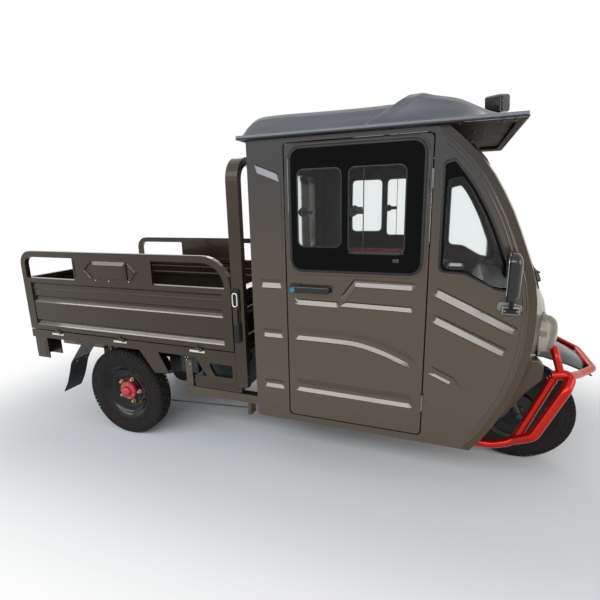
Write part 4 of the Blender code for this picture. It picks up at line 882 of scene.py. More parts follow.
def fasteners(name, spots, finish, body, head="hex", size=1.0):
    """Bolts, screws or rivets at (place, direction) spots; the base head is 10 mm across."""
    form = Form(name + "_cell")
    for profile, sides in HEADS[head]:
        lathe(form, profile, (0, 0, 0), (0, 0, 1), finish, sides)
    cell = loose(form)
    base = bpy.data.meshes.new(name + "_spots")
    base.from_pydata([tuple(place) for place, _ in spots], [], [])
    way = base.attributes.new("way", "FLOAT_VECTOR", "POINT")
    for i, (_, direction) in enumerate(spots):
        way.data[i].vector = direction
    values = {"Cell": cell, "Size": size, "Finish": PAINTS[finish]}
    made = grown(name, base, SPOTS, values)
    bpy.data.objects.remove(cell, do_unlink=True)
    return settle(made, body)


def round_edges(made, edge):
    """Rounds a pressing's sheet edges with a live modifier."""
    bevel = made.modifiers.new("sheet edges", "BEVEL")
    bevel.width = edge
    bevel.segments = 2
    bevel.limit_method = "ANGLE"
    bevel.angle_limit = math.radians(28)
    bevel.harden_normals = True


def pressed(names, finish, edge):
    """Paints carried-over solids and rounds their sheet edges, with live modifiers."""
    for name in names:
        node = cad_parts[name]
        node.data.materials.clear()
        node.data.materials.append(PAINTS[finish])
        if not edge:
            continue
        weld = node.modifiers.new("weld", "WELD")
        weld.merge_threshold = 0.00002
        flat = node.modifiers.new("flat faces", "DECIMATE")
        flat.decimate_type = "DISSOLVE"
        flat.angle_limit = math.radians(0.5)
        round_edges(node, edge)


def rounded_copy(name, body, finish, edge):
    """A welded, smooth-shaded copy of a curved pressing, in its solid's place."""
    form = Form(name + "_sheet")
    form.take(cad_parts[name].data, finish)
    bmesh.ops.remove_doubles(form.work, verts=form.work.verts, dist=0.00002)
    bmesh.ops.dissolve_limit(
        form.work, angle_limit=math.radians(0.5), verts=form.work.verts, edges=form.work.edges
    )
    round_edges(form.dress(body, (name,), 24, False), edge)


# The curved cab front


def seam_normal(z):
    """Outward normal of the side seam in the XZ plane."""
    reach = 0.004
    run = smooth(SIDE_SEAM, z + reach) - smooth(SIDE_SEAM, z - reach)
    return Vector((2 * reach, 0, -run)).normalized()


def nose(y, z, offset):
    """A point of the cab front, an offset out from the side seam."""
    normal = seam_normal(z)
    ahead = smooth(NOSE_BULGE, z) * (1 - (y / HALF_WIDTH) ** 2)
    return Vector((smooth(SIDE_SEAM, z) + normal.x * offset + ahead, y, z + normal.z * offset))


def windscreen_outline():
    """The windscreen's opening as (y, z) points."""
    corners = ((-0.492, 1.040), (0.492, 1.040), (0.462, 1.622), (-0.462, 1.622))
    return rounded([(*corner, 0.07) for corner in corners])


def seam_outline(zs, inset):
    """Points (x, z) along the side seam, set back from it."""
    points = []
    for z in zs:
        normal = seam_normal(z)
        points.append((smooth(SIDE_SEAM, z) - normal.x * inset, z - normal.z * inset))
    return points


def quarter_outline(clear):
    """The quarter window's opening, as in the solids, inset all round."""
    edge = seam_outline(steps(1.100, 1.590, 17), 0.040 + clear)
    top = edge[-1]
    sill = [(0.887 + clear, 1.108 + clear, 0.02)]
    for x, z in ((1.000, 1.103), (1.100, 1.056), (1.150, 1.034)):
        sill.append((x, z + clear))
    sill.append((1.196 - clear, 1.040 + clear))
    peak = [(top[0] - 0.028, 1.600 - clear), (0.887 + clear, 1.572 - clear)]
    return rounded(sill + edge + peak, 5)


def quarter_soft(clear, drop):
    """The quarter window with rounded corners, inset all round and lowered at its peak."""
    edge = seam_outline(steps(1.100 + clear * 0.4, 1.583 - drop - clear, 15), 0.040 + clear)
    sill = [(0.887 + clear, 1.108 + clear, 0.028), (1.000, 1.103 + clear, 0.05)]
    sill.append((1.130 - clear, 1.043 + clear, 0.05))
    sill.append((edge[0][0] - 0.006, edge[0][1] - 0.050 + clear * 0.5, 0.018))
    top = edge[-1]
    peak = [(top[0] - 0.026, top[1] + 0.034, 0.016), (0.887 + clear, top[1] + 0.022, 0.016)]
    return rounded(sill + edge + peak, 6)


def window(clear):
    """The door window's opening, inset all round."""
    xs = (DOOR_WINDOW_X[0] + clear, DOOR_WINDOW_X[1] - clear)
    zs = (DOOR_WINDOW_Z[0] + clear, DOOR_WINDOW_Z[1] - clear)
    return oblong(xs, zs, 0.055 - clear)


# Paint on the solids that stay


PRESSINGS = ("cab_side_left", "cab_side_right", "door_left", "door_right", "cab_rear_wall")
BED_SHEET = ("gate_left", "gate_right", "tailgate", "bed_frame", "headboard")


class TRIKE_OT_paint(Operator):
    """Paint the solids that keep their shape and round their sheet edges"""

    bl_idname = "trike.paint"
    bl_label = "Paint"

    def execute(self, context):
        mix_finishes(context.scene.trike_paints)
        edge = context.scene.trike_trim.edge
        pressed(PRESSINGS, "enamel", edge)
        pressed(BED_SHEET, "enamel_bed", edge * 0.8)
        pressed(("chassis_frame",), "enamel", edge)
        pressed(("bed_floor",), "chassis_black", 0)
        pressed(("cab_floor",), "abs_black", 0)
        pressed(("dashboard", "seat_base"), "abs_black", edge * 1.4)
        pressed(("battery_pack",), "case_teal", edge * 2)
        pressed(("controller_box",), "cast", edge * 0.7)
        pressed(("rear_axle",), "cast", 0)
        pressed(("leaf_spring_left", "leaf_spring_right"), "spring", 0)
        pressed(("front_fork",), "chassis_black", 0)
        rounded_copy("cab_front", "chassis", "enamel_front", edge)
        rounded_copy("front_mudguard", "chassis", "guard_grey", edge)
        pressed(("windscreen", "rear_glass"), "screen_glass", 0)
        pressed(("tail_lamp_left", "tail_lamp_right"), "lamp_red", edge)
        return {"FINISHED"}


# Wheels


def tread_block(form, section, first, last, slant):
    """One rubber block: a (across, radius) section carried over a short turn about the axle."""
    points = []
    for turn in (first, last):
        for across, radius in section:
            angle = turn + slant * abs(across)
            points.append((radius * math.sin(angle), across, radius * math.cos(angle)))
    size = len(section)
    faces = [tuple(range(size)), tuple(range(size, 2 * size))[::-1]]
    faces += [(i, (i + 1) % size, size + (i + 1) % size, size + i) for i in range(size)]
    form.shell(points, faces, "tyre")


def tyre(name, centre, body, cells, depth):
    """A radial tyre: carcass with sidewall lines, and rows of tread blocks."""
    half = (
        (BEAD_RADIUS, 0.0395), (0.1660, 0.0440), (0.1760, 0.0472), (0.1768, 0.0490), (0.1800, 0.0496),
        (0.1815, 0.0488), (0.1950, 0.0506), (0.1962, 0.0527), (0.2000, 0.0529), (0.2015, 0.0508),
        (0.2200, 0.0524), (0.2320, 0.0515), (0.2335, 0.0527), (0.2380, 0.0524), (0.2395, 0.0508),
        (0.2500, 0.0506), (0.2580, 0.0478), (TYRE_RADIUS - depth - 0.001, 0.0360),
        (TYRE_RADIUS - depth, 0.0180),
    )
    form = Form(name)
    profile = list(half) + [(radius, -across) for radius, across in reversed(half)]
    lathe(form, profile, centre, (0, 1, 0), "tyre", 96, closed=True)
    form.dress(body, (name,), 40)

    cell = Form(name + "_cell")
    pitch = math.tau / cells
    crown = TYRE_RADIUS
    root = crown - depth - 0.003
    shoulder = (
        (0.0310, root), (0.0316, crown - 0.0004), (0.0410, crown - 0.0016), (0.0475, crown - 0.0060),
        (0.0506, crown - 0.0130), (0.0520, crown - 0.0220), (0.0512, crown - 0.0290),
        (0.0440, crown - 0.0280),
    )
    inner = ((0.0105, root), (0.0110, crown), (0.0268, crown - 0.0002), (0.0274, root))
    middle = ((-0.0070, root), (-0.0066, crown), (0.0066, crown), (0.0070, root))
    for side in (-1, 1):
        ahead = pitch * (0.5 if side > 0 else 0.0)
        edge_block = [(side * across, radius) for across, radius in shoulder]
        inner_block = [(side * across, radius) for across, radius in inner]
        for share in (0.03, 0.53):
            tread_block(cell, edge_block, ahead + pitch * share, ahead + pitch * (share + 0.41), 0.5)
        tread_block(cell, inner_block, ahead + pitch * 0.10, ahead + pitch * 0.78, 1.6)
    for share in (0.0, 0.5):
        tread_block(cell, middle, pitch * share, pitch * (share + 0.40), 0.0)
    blocks = ring(name + "_tread", cell, cells, tuple(centre), "tyre", body, 30)


class TRIKE_OT_tyres(Operator):
    """Build the three tyres with their tread"""

    bl_idname = "trike.tyres"
    bl_label = "Tyres"

    def execute(self, context):
        sizes = context.scene.trike_tyres
        for side in (-1, 1):
            centre = Vector((REAR_AXLE_X, side * REAR_WHEEL_Y, TYRE_RADIUS))
            tyre("rear_tyre_" + word(side), centre, "rear_wheel_" + word(side), sizes.blocks, sizes.depth)
        tyre("front_tyre", Vector((FRONT_AXLE_X, 0, TYRE_RADIUS)), "front_wheel", sizes.blocks, sizes.depth)
        return {"FINISHED"}


def hex_nut(form, place, way, across, high, finish):
    """A nut or bolt head with its washer."""
    washer = ((0.0, 0.0), (across * 0.72, 0.0), (across * 0.72, high * 0.18), (across * 0.66, high * 0.24))
    head = (
        (0.0, 0.0), (across * 0.57, 0.0), (across * 0.57, high * 0.86), (across * 0.48, high), (0.0, high)
    )
    lathe(form, (*washer, (0.0, high * 0.24)), place, way, finish, 20)
    lathe(form, head, place, way, finish, 6)


def wheel_rim(name, side, centre, body):
    """Pressed steel disc wheel, red hub cap, lug nuts and cap screws."""
    way = Vector((0, side, 0))
    lip = 0.1755
    form = Form(name)
    profile = (
        (0.0125, 0.006), (0.040, 0.006), (0.060, 0.0065), (0.070, 0.0030), (0.082, 0.0030), (0.092, 0.0060),
        (0.104, 0.0140), (0.116, 0.0175), (0.127, 0.0170), (0.137, 0.0200), (0.147, 0.0300), (0.156, 0.0385),
        (0.165, 0.0430), (lip - 0.004, 0.0478), (lip - 0.001, 0.0490), (lip, 0.0480), (lip + 0.0004, 0.0450),
        (lip - 0.0015, 0.0432), (0.1629, 0.0415), (0.1629, 0.0300), (0.150, 0.0200), (0.140, 0.0080),
        (0.140, -0.0100), (0.155, -0.0260), (0.1629, -0.0330), (0.1629, -0.0415), (lip - 0.0015, -0.0432),
        (lip + 0.0004, -0.0450), (lip, -0.0480), (lip - 0.001, -0.0490), (lip - 0.004, -0.0478),
        (0.160, -0.0400), (0.148, -0.0240), (0.136, -0.0100), (0.136, 0.0060), (0.128, 0.0130),
        (0.116, 0.0130), (0.104, 0.0095), (0.092, 0.0010), (0.070, -0.0020), (0.040, -0.0020),
        (0.034, -0.0600), (0.0125, -0.0600),
    )
    lathe(form, profile, centre, way, "wheel_black", 96, closed=True)
    form.dress(body, (name,), 30)

    cap = Form("hub_cap_" + word(side))
    shape = (
        (0.0, 0.0558), (0.012, 0.0552), (0.022, 0.0528), (0.0285, 0.0480), (0.0315, 0.0410), (0.0325, 0.0300),
        (0.0350, 0.0275), (0.0520, 0.0258), (0.0575, 0.0240), (0.0592, 0.0205), (0.0592, 0.0090),
        (0.0565, 0.0066), (0.0, 0.0066),
    )
    lathe(cap, shape, centre, way, "cap_red", 64)
    cap.dress(body, (), 40)

    screws = []
    for i in range(7):
        angle = math.tau * i / 7 + 0.2
        screws.append(
            (centre + Vector((0.0470 * math.sin(angle), side * 0.0262, 0.0470 * math.cos(angle))), way)
        )
    fasteners("cap_screws_" + word(side), screws, "bolt", body, size=1.15)
    lugs = Form("lug_nuts_" + word(side))
    for i in range(5):
        angle = math.tau * i / 5 + 0.35
        place = centre + Vector((0.0765 * math.sin(angle), side * 0.0034, 0.0765 * math.cos(angle)))
        hex_nut(lugs, place, way, 0.020, 0.014, "bolt")
        rod(lugs, place + way * 0.012, place + way * 0.021, 0.0075, "bolt", 14, 0.003)
    lugs.dress(body)
    valve = Form("valve_" + word(side))
    stem = centre + Vector((0.118 * math.sin(2.0), side * 0.012, 0.118 * math.cos(2.0)))
    rod(valve, stem, stem + way * 0.020, 0.0045, "abs_black", 14)
    rod(valve, stem + way * 0.019, stem + way * 0.030, 0.0034, "bolt", 12)
    valve.dress(body)


class TRIKE_OT_wheels(Operator):
    """Build the wheels, hub caps, nuts and brake parts"""

    bl_idname = "trike.wheels"
    bl_label = "Wheels"

    def execute(self, context):
        for side in (-1, 1):
            centre = Vector((REAR_AXLE_X, side * REAR_WHEEL_Y, TYRE_RADIUS))
            wheel_rim("rear_rim_" + word(side), side, centre, "rear_wheel_" + word(side))
        centre = Vector((FRONT_AXLE_X, 0, TYRE_RADIUS))
        form = Form("front_rim")
        half = (
            (0.1530, 0.0300), (0.1535, 0.0400), (0.1600, 0.0440), (0.1740, 0.0478), (0.1750, 0.0490),
            (0.1757, 0.0480), (0.1758, 0.0450), (0.1735, 0.0432), (0.1629, 0.0415), (0.1629, 0.0320),
            (0.1600, 0.0200),
        )
        profile = list(half) + [(radius, -across) for radius, across in reversed(half)]
        lathe(form, profile, centre, (0, 1, 0), "wheel_black", 80, closed=True)
        hub = [
            (0.0086, 0.066), (0.030, 0.066), (0.033, 0.063), (0.034, 0.045), (0.060, 0.040), (0.090, 0.036)
        ]
        hub += [(0.094, 0.030), (0.094, 0.020)]
        hub += [(radius, -along) for radius, along in reversed(hub)]
        lathe(form, hub, centre, (0, 1, 0), "wheel_black", 48, closed=True)
        for i in range(5):
            turn = Matrix.Rotation(math.tau * i / 5, 3, "Y")
            path = [centre + turn @ Vector((reach, 0, 0)) for reach in (0.080, 0.100, 0.130, 0.157)]
            across = turn @ Vector((0, 1, 0))
            sweep(form, path, oblong((-0.021, 0.021), (-0.015, 0.015), 0.006, 4), "wheel_black", up=across)
        drum = [
            (0.0340, 0.012), (0.1500, 0.020), (0.1590, 0.026), (0.1590, -0.026), (0.1500, -0.020),
            (0.0340, -0.012),
        ]
        lathe(form, drum, centre, (0, 1, 0), "wheel_black", 64, closed=True)
        for way in (-1, 1):
            end = centre + Vector((0, way * 0.066, 0))
            hex_nut(form, end, Vector((0, way, 0)), 0.016, 0.012, "bolt")
        form.dress("front_wheel", ("front_rim",), 35)
        return {"FINISHED"}


# Tube guard


def arch_lobe(side):
    """Rounded inner wall of the wheel arch, beside the front wheel."""
    lobe = Form("arch_lobe_" + word(side))
    line = [(1.130, 0.392, 0.01), (1.2137, 0.4358, 0.05), (1.2862, 0.5597, 0.08), (1.352, 0.636, 0.03)]
    line += [(1.352, 0.704, 0.02), (1.330, 0.729, 0.01), (1.236, 0.729, 0.005), (1.180, 0.600, 0.05)]
    plate(lobe, rounded(line, 6), sided(side, 0.388, 0.456), "Y", "enamel_front", 0.012, (), 4)
    lobe.dress("chassis", (), 45)


class TRIKE_OT_guard(Operator):
    """Build the red tube guard with its welds and feet, and the inner walls of the wheel arch"""

    bl_idname = "trike.guard"
    bl_label = "Guard"

    def execute(self, context):
        form = Form("tube_guard")
        rail_y = 0.472
        low = [(0.860, rail_y, 0.298), (1.170, 0.470, 0.298), (1.262, 0.470, 0.330), (1.400, 0.415, 0.640)]
        outer = [(1.262, 0.470, 0.340), (1.330, 0.500, 0.385), (1.440, 0.470, 0.610)]
        outer += [(1.470, 0.415, 0.668), (1.392, 0.415, 0.650)]
        upright = [(1.424, 0.415, 0.664), (1.402, 0.412, 0.735), (1.392, 0.380, 0.772)]
        bolts = []
        for side in (-1, 1):
            for line, size, bend in ((low, 0.0190, 0.10), (outer, 0.02185, 0.06), (upright, 0.01615, 0.05)):
                path = [(x, side * y, z) for x, y, z in line]
                tube(form, filleted(path, bend, 12) if len(path) > 2 else path, size, "powder_red", 28)
            foot = sided(side, 0.447, 0.497)
            block(form, (0.870, 0.940), foot, (0.305, 0.3197), "powder_red", 0.0015)
            rear = Vector((0.8595, side * rail_y, 0.298))
            lathe(
                form, [(0.0, 0.0), (0.0186, 0.0), (0.0186, 0.006), (0.0, 0.006)], rear, (-1, 0, 0),
                "abs_black", 24,
            )
            for x in (0.884, 0.926):
                bolts.append(((x, side * 0.447, 0.3125), (0, -side, 0)))
            for place, way in (
                ((1.394, side * 0.4152, 0.627), (0.40, 0.0, 0.91)),
                ((1.444, side * 0.4300, 0.654), (-0.5, -0.3, 0.1)),
            ):
                profile = [
                    (0.0175, -0.004), (0.0225, -0.002), (0.0240, 0.0), (0.0225, 0.002), (0.0175, 0.004)
                ]
                lathe(form, profile, place, way, "powder_red", 28, closed=True)
        hoop = [(1.440, -0.430, 0.655), (1.525, -0.290, 0.622), (1.619, -0.140, 0.604)]
        hoop += [(x, -y, z) for x, y, z in reversed(hoop)]
        tube(form, filleted(hoop, 0.07, 14), 0.0171, "powder_red", 28)
        form.dress("chassis", ("bumper",), 40)
        for side in (-1, 1):
            arch_lobe(side)
        fasteners("guard_bolts", bolts, "zinc", "chassis")
        return {"FINISHED"}


# Glazing


def seal_on_side(form, outline, side, face, section, finish):
    """Carries a section round an (x, z) outline on a side face; up is outward."""
    path = [(x, side * face, z) for x, z in outline]
    sweep(form, path, section, finish, closed=True, up=(0, side, 0))


def door_glazing(side, body):
    """Black-edged door glass with a fixed and a sliding pane, rubber and catch."""
    face = HALF_WIDTH
    glass = Form("door_pane_" + word(side))
    front = oblong(*FRONT_PANE, PANE_CORNER)
    rear = oblong(*REAR_PANE, PANE_CORNER)
    span = sided(side, face - 0.004, face - 0.010)
    plate(glass, window(0.0003), span, "Y", "frit", 0.0006, (front, rear))
    glass_span = sided(side, face - 0.0055, face - 0.0095)
    plate(glass, oblong((0.2535, 0.4645), (1.2145, 1.5675), 0.030), glass_span, "Y", "smoke_glass", 0.0003)
    slide_span = sided(side, face - 0.011, face - 0.015)
    plate(glass, oblong((0.5640, 0.7600), (1.1750, 1.5790), 0.024), slide_span, "Y", "smoke_glass", 0.0003)
    fixed = rounded([(0.4975, 1.1865, 0.03), (0.5660, 1.1865), (0.5660, 1.5675), (0.4975, 1.5675, 0.03)])
    plate(glass, fixed, glass_span, "Y", "smoke_glass", 0.0003)
    glass.dress(body, ("door_glass_" + word(side),), 30)

    trim = Form("door_window_trim_" + word(side))
    lip = [
        (-0.0060, -0.004), (0.0060, -0.004), (0.0060, 0.0030), (0.0040, 0.0052), (-0.0030, 0.0052),
        (-0.0060, 0.0020),
    ]
    seal_on_side(trim, window(-0.0095), side, face - 0.001, lip, "enamel")
    rubber = [
        (-0.0055, -0.006), (0.0055, -0.006), (0.0055, 0.0010), (0.0025, 0.0032), (-0.0030, 0.0030),
        (-0.0055, 0.0),
    ]
    seal_on_side(trim, window(0.0025), side, face - 0.0010, rubber, "seal")
    frame_ring = [(-0.0028, -0.004), (0.0028, -0.004), (0.0028, 0.0012), (0.0012, 0.0022), (-0.0028, 0.0022)]
    for pane_edge in (front, rear):
        seal_on_side(trim, pane_edge, side, face - 0.0045, frame_ring, "seal")
    block(trim, (0.5635, 0.5665), sided(side, face - 0.0045, face - 0.0155), (1.188, 1.566), "seal", 0.0008)
    block(trim, (0.500, 0.746), sided(side, face - 0.0035, face - 0.018), (1.1870, 1.1940), "seal", 0.001)
    block(trim, (0.700, 0.728), sided(side, face - 0.0005, face - 0.008), (1.150, 1.166), "cast", 0.003)
    for x in (0.276, 0.512):
        rod(
            trim, (x, side * (face - 0.012), 1.375), (x, side * (face - 0.034), 1.375), 0.023, "abs_black", 8,
            0.003,
        )
        block(
            trim, (x, x + 0.052), sided(side, face - 0.012, face - 0.022), (1.364, 1.386), "abs_black", 0.002
        )
    trim.dress(body, (), 40)


def quarter_glazing(side):
    """Black-edged quarter glass with its painted lip and rubber."""
    form = Form("quarter_pane_" + word(side))
    clear_area = quarter_soft(0.026, 0.046)
    span = sided(side, HALF_WIDTH - 0.004, HALF_WIDTH - 0.010)
    plate(form, quarter_outline(0.0003), span, "Y", "frit", 0.0006, (clear_area,))
    inner = sided(side, HALF_WIDTH - 0.0052, HALF_WIDTH - 0.0092)
    plate(form, quarter_soft(0.0255, 0.046), inner, "Y", "smoke_glass", 0.0003)
    lip = sided(side, HALF_WIDTH - 0.0042, HALF_WIDTH + 0.0022)
    plate(form, quarter_outline(-0.006), lip, "Y", "enamel", 0.0012, (quarter_soft(0.006, 0.0),), 2)
    rubber = [(-0.005, -0.006), (0.005, -0.006), (0.005, 0.0006), (0.002, 0.0022), (-0.004, 0.0022)]
    seal_on_side(form, quarter_soft(0.010, 0.0), side, HALF_WIDTH - 0.001, rubber, "seal")
    form.dress("chassis", ("quarter_glass_" + word(side),), 35)


def windscreen_trim(wide):
    """Windscreen rubber of a given width, and the wiper."""
    form = Form("windscreen_seal")
    path = [nose(y, z, FLANGE) for y, z in windscreen_outline()]
    half = wide / 2
    section = [
        (-half, -0.012), (half, -0.012), (half, 0.0016), (half * 0.5, 0.0034), (-half * 0.6, 0.0034),
        (-half, 0.001),
    ]
    sweep(form, path, section, "seal", closed=True, up=(0.9, 0, 0.42))
    pivot = nose(0.13, 1.018, FLANGE)
    tip = nose(-0.25, 1.075, FLANGE + 0.014)
    rod(
        form, pivot - Vector((0.01, 0, 0.004)), pivot + Vector((0.016, 0, 0.008)), 0.010, "abs_black", 20,
        0.002,
    )
    arm = filleted([pivot + Vector((0.012, 0, 0.006)), nose(0.02, 1.050, FLANGE + 0.016), tip], 0.03, 4)
    tube(form, arm, 0.0038, "abs_black", 10)
    blade = [nose(y, 1.062 + 0.05 * (0.32 - y) * 0.1, FLANGE + 0.004) for y in steps(0.04, -0.42, 12)]
    sweep(
        form, blade, [(-0.003, -0.004), (0.003, -0.004), (0.003, 0.008), (-0.003, 0.008)], "seal",
        up=(0.9, 0, 0.4),
    )
    form.dress("chassis", (), 40)


class TRIKE_OT_glazing(Operator):
    """Build the door and quarter glass, windscreen seal and wiper"""

    bl_idname = "trike.glazing"
    bl_label = "Glazing"

    def execute(self, context):
        wide = context.scene.trike_trim.seal
        for side in (-1, 1):
            door_glazing(side, word(side) + "_door")
            quarter_glazing(side)
        windscreen_trim(wide)
        return {"FINISHED"}


# Roof


SCOOP_FOOT_X = 0.560
SCOOP_RUN = 0.165
SCOOP_EDGE = 0.012
FLAT_END_X = 0.520
SCOOP_FULL_X = 0.600


def roof_half(x):
    """Corner points of the roof moulding's half section, from the gutter's foot to the middle."""
    foot, shoulder, top = [smooth([(row[0], row[i]) for row in ROOF_SECTIONS], x) for i in (1, 2, 3)]
    base = CAB_TOP_Z + 0.0003
    return [
        (ROOF_HALF - 0.010, base), (ROOF_HALF, base), (ROOF_HALF, base + GUTTER_HEIGHT),
        (foot, base + GUTTER_HEIGHT + 0.003), (shoulder + 0.030, top - 0.026), (shoulder, top - 0.006),
        (shoulder * 0.5, top + 0.010), (0.0, top + 0.014),
    ]


def roof_path(x):
    line = [(x, y, z) for y, z in roof_half(x)]
    path = [Vector(line[0]), Vector(line[1])]
    path += filleted(line[1:4], 0.006, 4)[1:-1]
    path += filleted(line[2:5], 0.012, 4)[1:-1]
    path += [Vector(line[3]).lerp(Vector(line[4]), t) for t in (0.25, 0.5, 0.75)]
    path += filleted(line[3:7], 0.026, 6)[1:-1]
    path += [Vector(line[6]).lerp(Vector(line[7]), t) for t in (0.0, 0.34, 0.67)]
    path.append(Vector(line[7]))
    return path


def roof_ring(x):
    """The half section, leant forward about the scoop's slanted crease and stepped there."""
    lean = SCOOP_RUN * ease(0.26, 0.52, x) * (1 - ease(0.59, 0.90, x))
    step = ease(SCOOP_FOOT_X - SCOOP_EDGE, SCOOP_FOOT_X + SCOOP_EDGE, x)
    before = roof_path(min(x, FLAT_END_X))
    after = roof_path(max(x, SCOOP_FULL_X))
    ring = []
    for low, high in zip(before, after):
        point = low.lerp(high, step)
        rise = min(max((point.z - CAB_TOP_Z - 0.024) / 0.110, 0.0), 1.0)
        ring.append(Vector((x + lean * rise, point.y, point.z)))
    return ring


def roof_moulding():
    """The moulded skin, swept through its sections, and the dark lip round its gutter."""
    form = Form("roof_moulding")
    stations = steps(-0.040, -0.012, 5) + steps(0.0, 0.540, 30) + steps(0.545, 0.575, 13)
    stations += steps(0.585, 1.183, 36)
    rings = []
    for x in stations:
        half = roof_ring(x)
        rings.append([Vector((p.x, -p.y, p.z)) for p in half] + half[-2::-1])
    size = len(rings[0])
    verts = [form.work.verts.new(p) for line in rings for p in line]
    number = form.index("roof_coat")
    for i in range(len(rings) - 1):
        for k in range(size - 1):
            a = i * size + k
            face = form.work.faces.new((verts[a], verts[a + 1], verts[a + size + 1], verts[a + size]))
            face.material_index = number
    for line in (verts[:size], verts[-size:]):
        form.work.faces.new(line).material_index = number
    made = form.dress("chassis", ("roof",), 32, False)
    shell = made.modifiers.new("sheet", "SOLIDIFY")
    shell.thickness = 0.004
    shell.offset = -1
    lip = Form("gutter_lip")
    edge_z = CAB_TOP_Z + 0.004
    rim = filleted(
        [
            (-0.036, -0.5745, edge_z), (1.1835, -0.5745, edge_z), (1.1835, 0.5745, edge_z),
            (-0.036, 0.5745, edge_z),
        ],
        0.012, 5,
    )
    tube(lip, rim, 0.0042, "seal", 10)
    lip.dress("chassis", ())


def visor_underside():
    """Recessed panel under the visor."""
    under = Form("visor_underside")
    base = CAB_TOP_Z + 0.0006
    outline = rounded(
        [(0.872, -0.563, 0.01), (1.176, -0.563, 0.02), (1.176, 0.563, 0.02), (0.872, 0.563, 0.01)], 6
    )
    recess = oblong((1.050, 1.156), (-0.470, 0.470), 0.02, 6)
    plate(under, outline, (base, base + 0.010), "Z", "enamel_inner", 0.002, (recess,), 2)
    plate(
        under, oblong((1.046, 1.160), (-0.474, 0.474), 0.02, 6), (base + 0.016, base + 0.019), "Z",
        "enamel_inner", 0.0006,
    )
    path = [(x, y, base + 0.012) for x, y in recess]
    sweep(
        under, path, [(-0.002, -0.008), (0.002, -0.008), (0.002, 0.006), (-0.002, 0.006)], "enamel_inner",
        closed=True,
    )
    under.dress("chassis", (), 35)


class TRIKE_OT_roof(Operator):
    """Build the roof moulding with its visor, underside, lining and lamp"""

    bl_idname = "trike.roof"
    bl_label = "Roof"

    def execute(self, context):
        roof_moulding()
        visor_underside()
        lining = Form("roof_lining")
        plate(
            lining, oblong((0.046, 0.794), (-0.425, 0.425), 0.04, 6), (1.793, 1.798), "Z", "abs_black", 0.001
        )
        plate(
            lining, oblong((0.30, 0.38), (-0.05, 0.05), 0.012, 6), (1.778, 1.7935), "Z", "lens", 0.003, (), 3
        )
        lining.dress("chassis", (), 35)
        base = CAB_TOP_Z + 0.0006
        screws = []
        for x, y in ((1.10, 0.515), (0.94, 0.535), (1.00, 0.30), (1.00, 0.0), (1.145, 0.515)):
            for side in (-1, 1):
                if y or side > 0:
                    screws.append(((x, side * y, base), (0, 0, -1)))
        fasteners("visor_bolts", screws, "abs_gloss", "chassis", "dome", 1.5)
        return {"FINISHED"}


# Lamps


def lamp_slice(side, x, share, sides=56):
    """A slice of a headlight at x, as a share of its full outline; the lamp is swept back outward."""
    points = []
    for i in range(sides):
        angle = math.tau * i / sides
        y = HEADLIGHT[0] + 0.0800 * math.cos(angle) * share
        z = HEADLIGHT[1] + 0.0925 * math.sin(angle) * share
        points.append(Vector((x + (HEADLIGHT[0] - y) * 0.34, side * y, z)))
    return points


def headlight(side):
    """Reflector bowl, painted shroud, domed lens, bulb and rim of one headlight."""
    name = "headlight_" + word(side)
    form = Form(name)

    bucket = ((1.262, 0.98), (1.322, 0.99), (1.336, 1.0), (1.341, 0.995), (1.343, 0.965), (1.339, 0.925))
    bucket += ((1.316, 0.80), (1.286, 0.55), (1.276, 0.25))
    rows_shell(form, [lamp_slice(side, x, share) for x, share in bucket], "reflector")
    shroud = ((1.264, 0.995), (1.322, 1.005), (1.332, 1.015), (1.334, 1.0), (1.325, 0.985), (1.270, 0.975))
    rows_shell(form, [lamp_slice(side, x, share) for x, share in shroud], "enamel_front")
    dome = ((1.3385, 0.935), (1.350, 0.93), (1.366, 0.88), (1.380, 0.78), (1.391, 0.62), (1.397, 0.40))
    dome += ((1.399, 0.15),)
    rows_shell(form, [lamp_slice(side, x, share) for x, share in dome], "head_lens")
    bulb = Vector((1.30, side * HEADLIGHT[0], HEADLIGHT[1]))
    rod(form, bulb - Vector((0.02, 0, 0)), bulb + Vector((0.045, 0, 0)), 0.011, "reflector", 20, 0.003)
    tip = [(0.0, 0.0), (0.011, 0.0), (0.012, 0.003), (0.009, 0.006), (0.0, 0.007)]
    lathe(form, tip, bulb + Vector((0.045, 0, 0)), (1, 0, 0), "lamp_red", 24)
    form.dress("chassis", (name,), 40)
    rim = Form("headlight_rim_" + word(side))
    section = [(-0.004, -0.006, 0.001), (0.004, -0.006, 0.001), (0.004, 0.006, 0.002), (-0.004, 0.004, 0.002)]
    sweep(
        rim, lamp_slice(side, 1.337, 1.03), rounded(section, 3), "abs_gloss", closed=True,
        up=(1, side * 0.3, 0),
    )
    rim.dress("chassis", (), 40)


class TRIKE_OT_lamps(Operator):
    """Build the headlights and the roof lamp"""

    bl_idname = "trike.lamps"
    bl_label = "Lamps"

    def execute(self, context):
        for side in (-1, 1):
            headlight(side)
        lamp = Form("roof_lamp")
        block(lamp, (-0.042, 0.042), (-0.048, 0.048), (-0.042, 0.042), "abs_gloss", 0.011, 2)
        plate(lamp, oblong((-0.038, 0.038), (-0.033, 0.033), 0.006, 4), (0.040, 0.0445), "X", "lens", 0.001)
        turn = Matrix.Translation((1.106, 0.0, 1.8705)) @ Matrix.Rotation(math.radians(-30), 4, "Z")
        turn = turn @ Matrix.Rotation(math.radians(9), 4, "X")
        bmesh.ops.transform(lamp.work, matrix=turn, verts=lamp.work.verts)
        rod(lamp, (1.094, 0.0, 1.752), (1.094, 0.0, 1.845), 0.014, "abs_black", 20)
        lamp.dress("chassis", ("roof_lamp",), 30)
        return {"FINISHED"}


# Mirrors


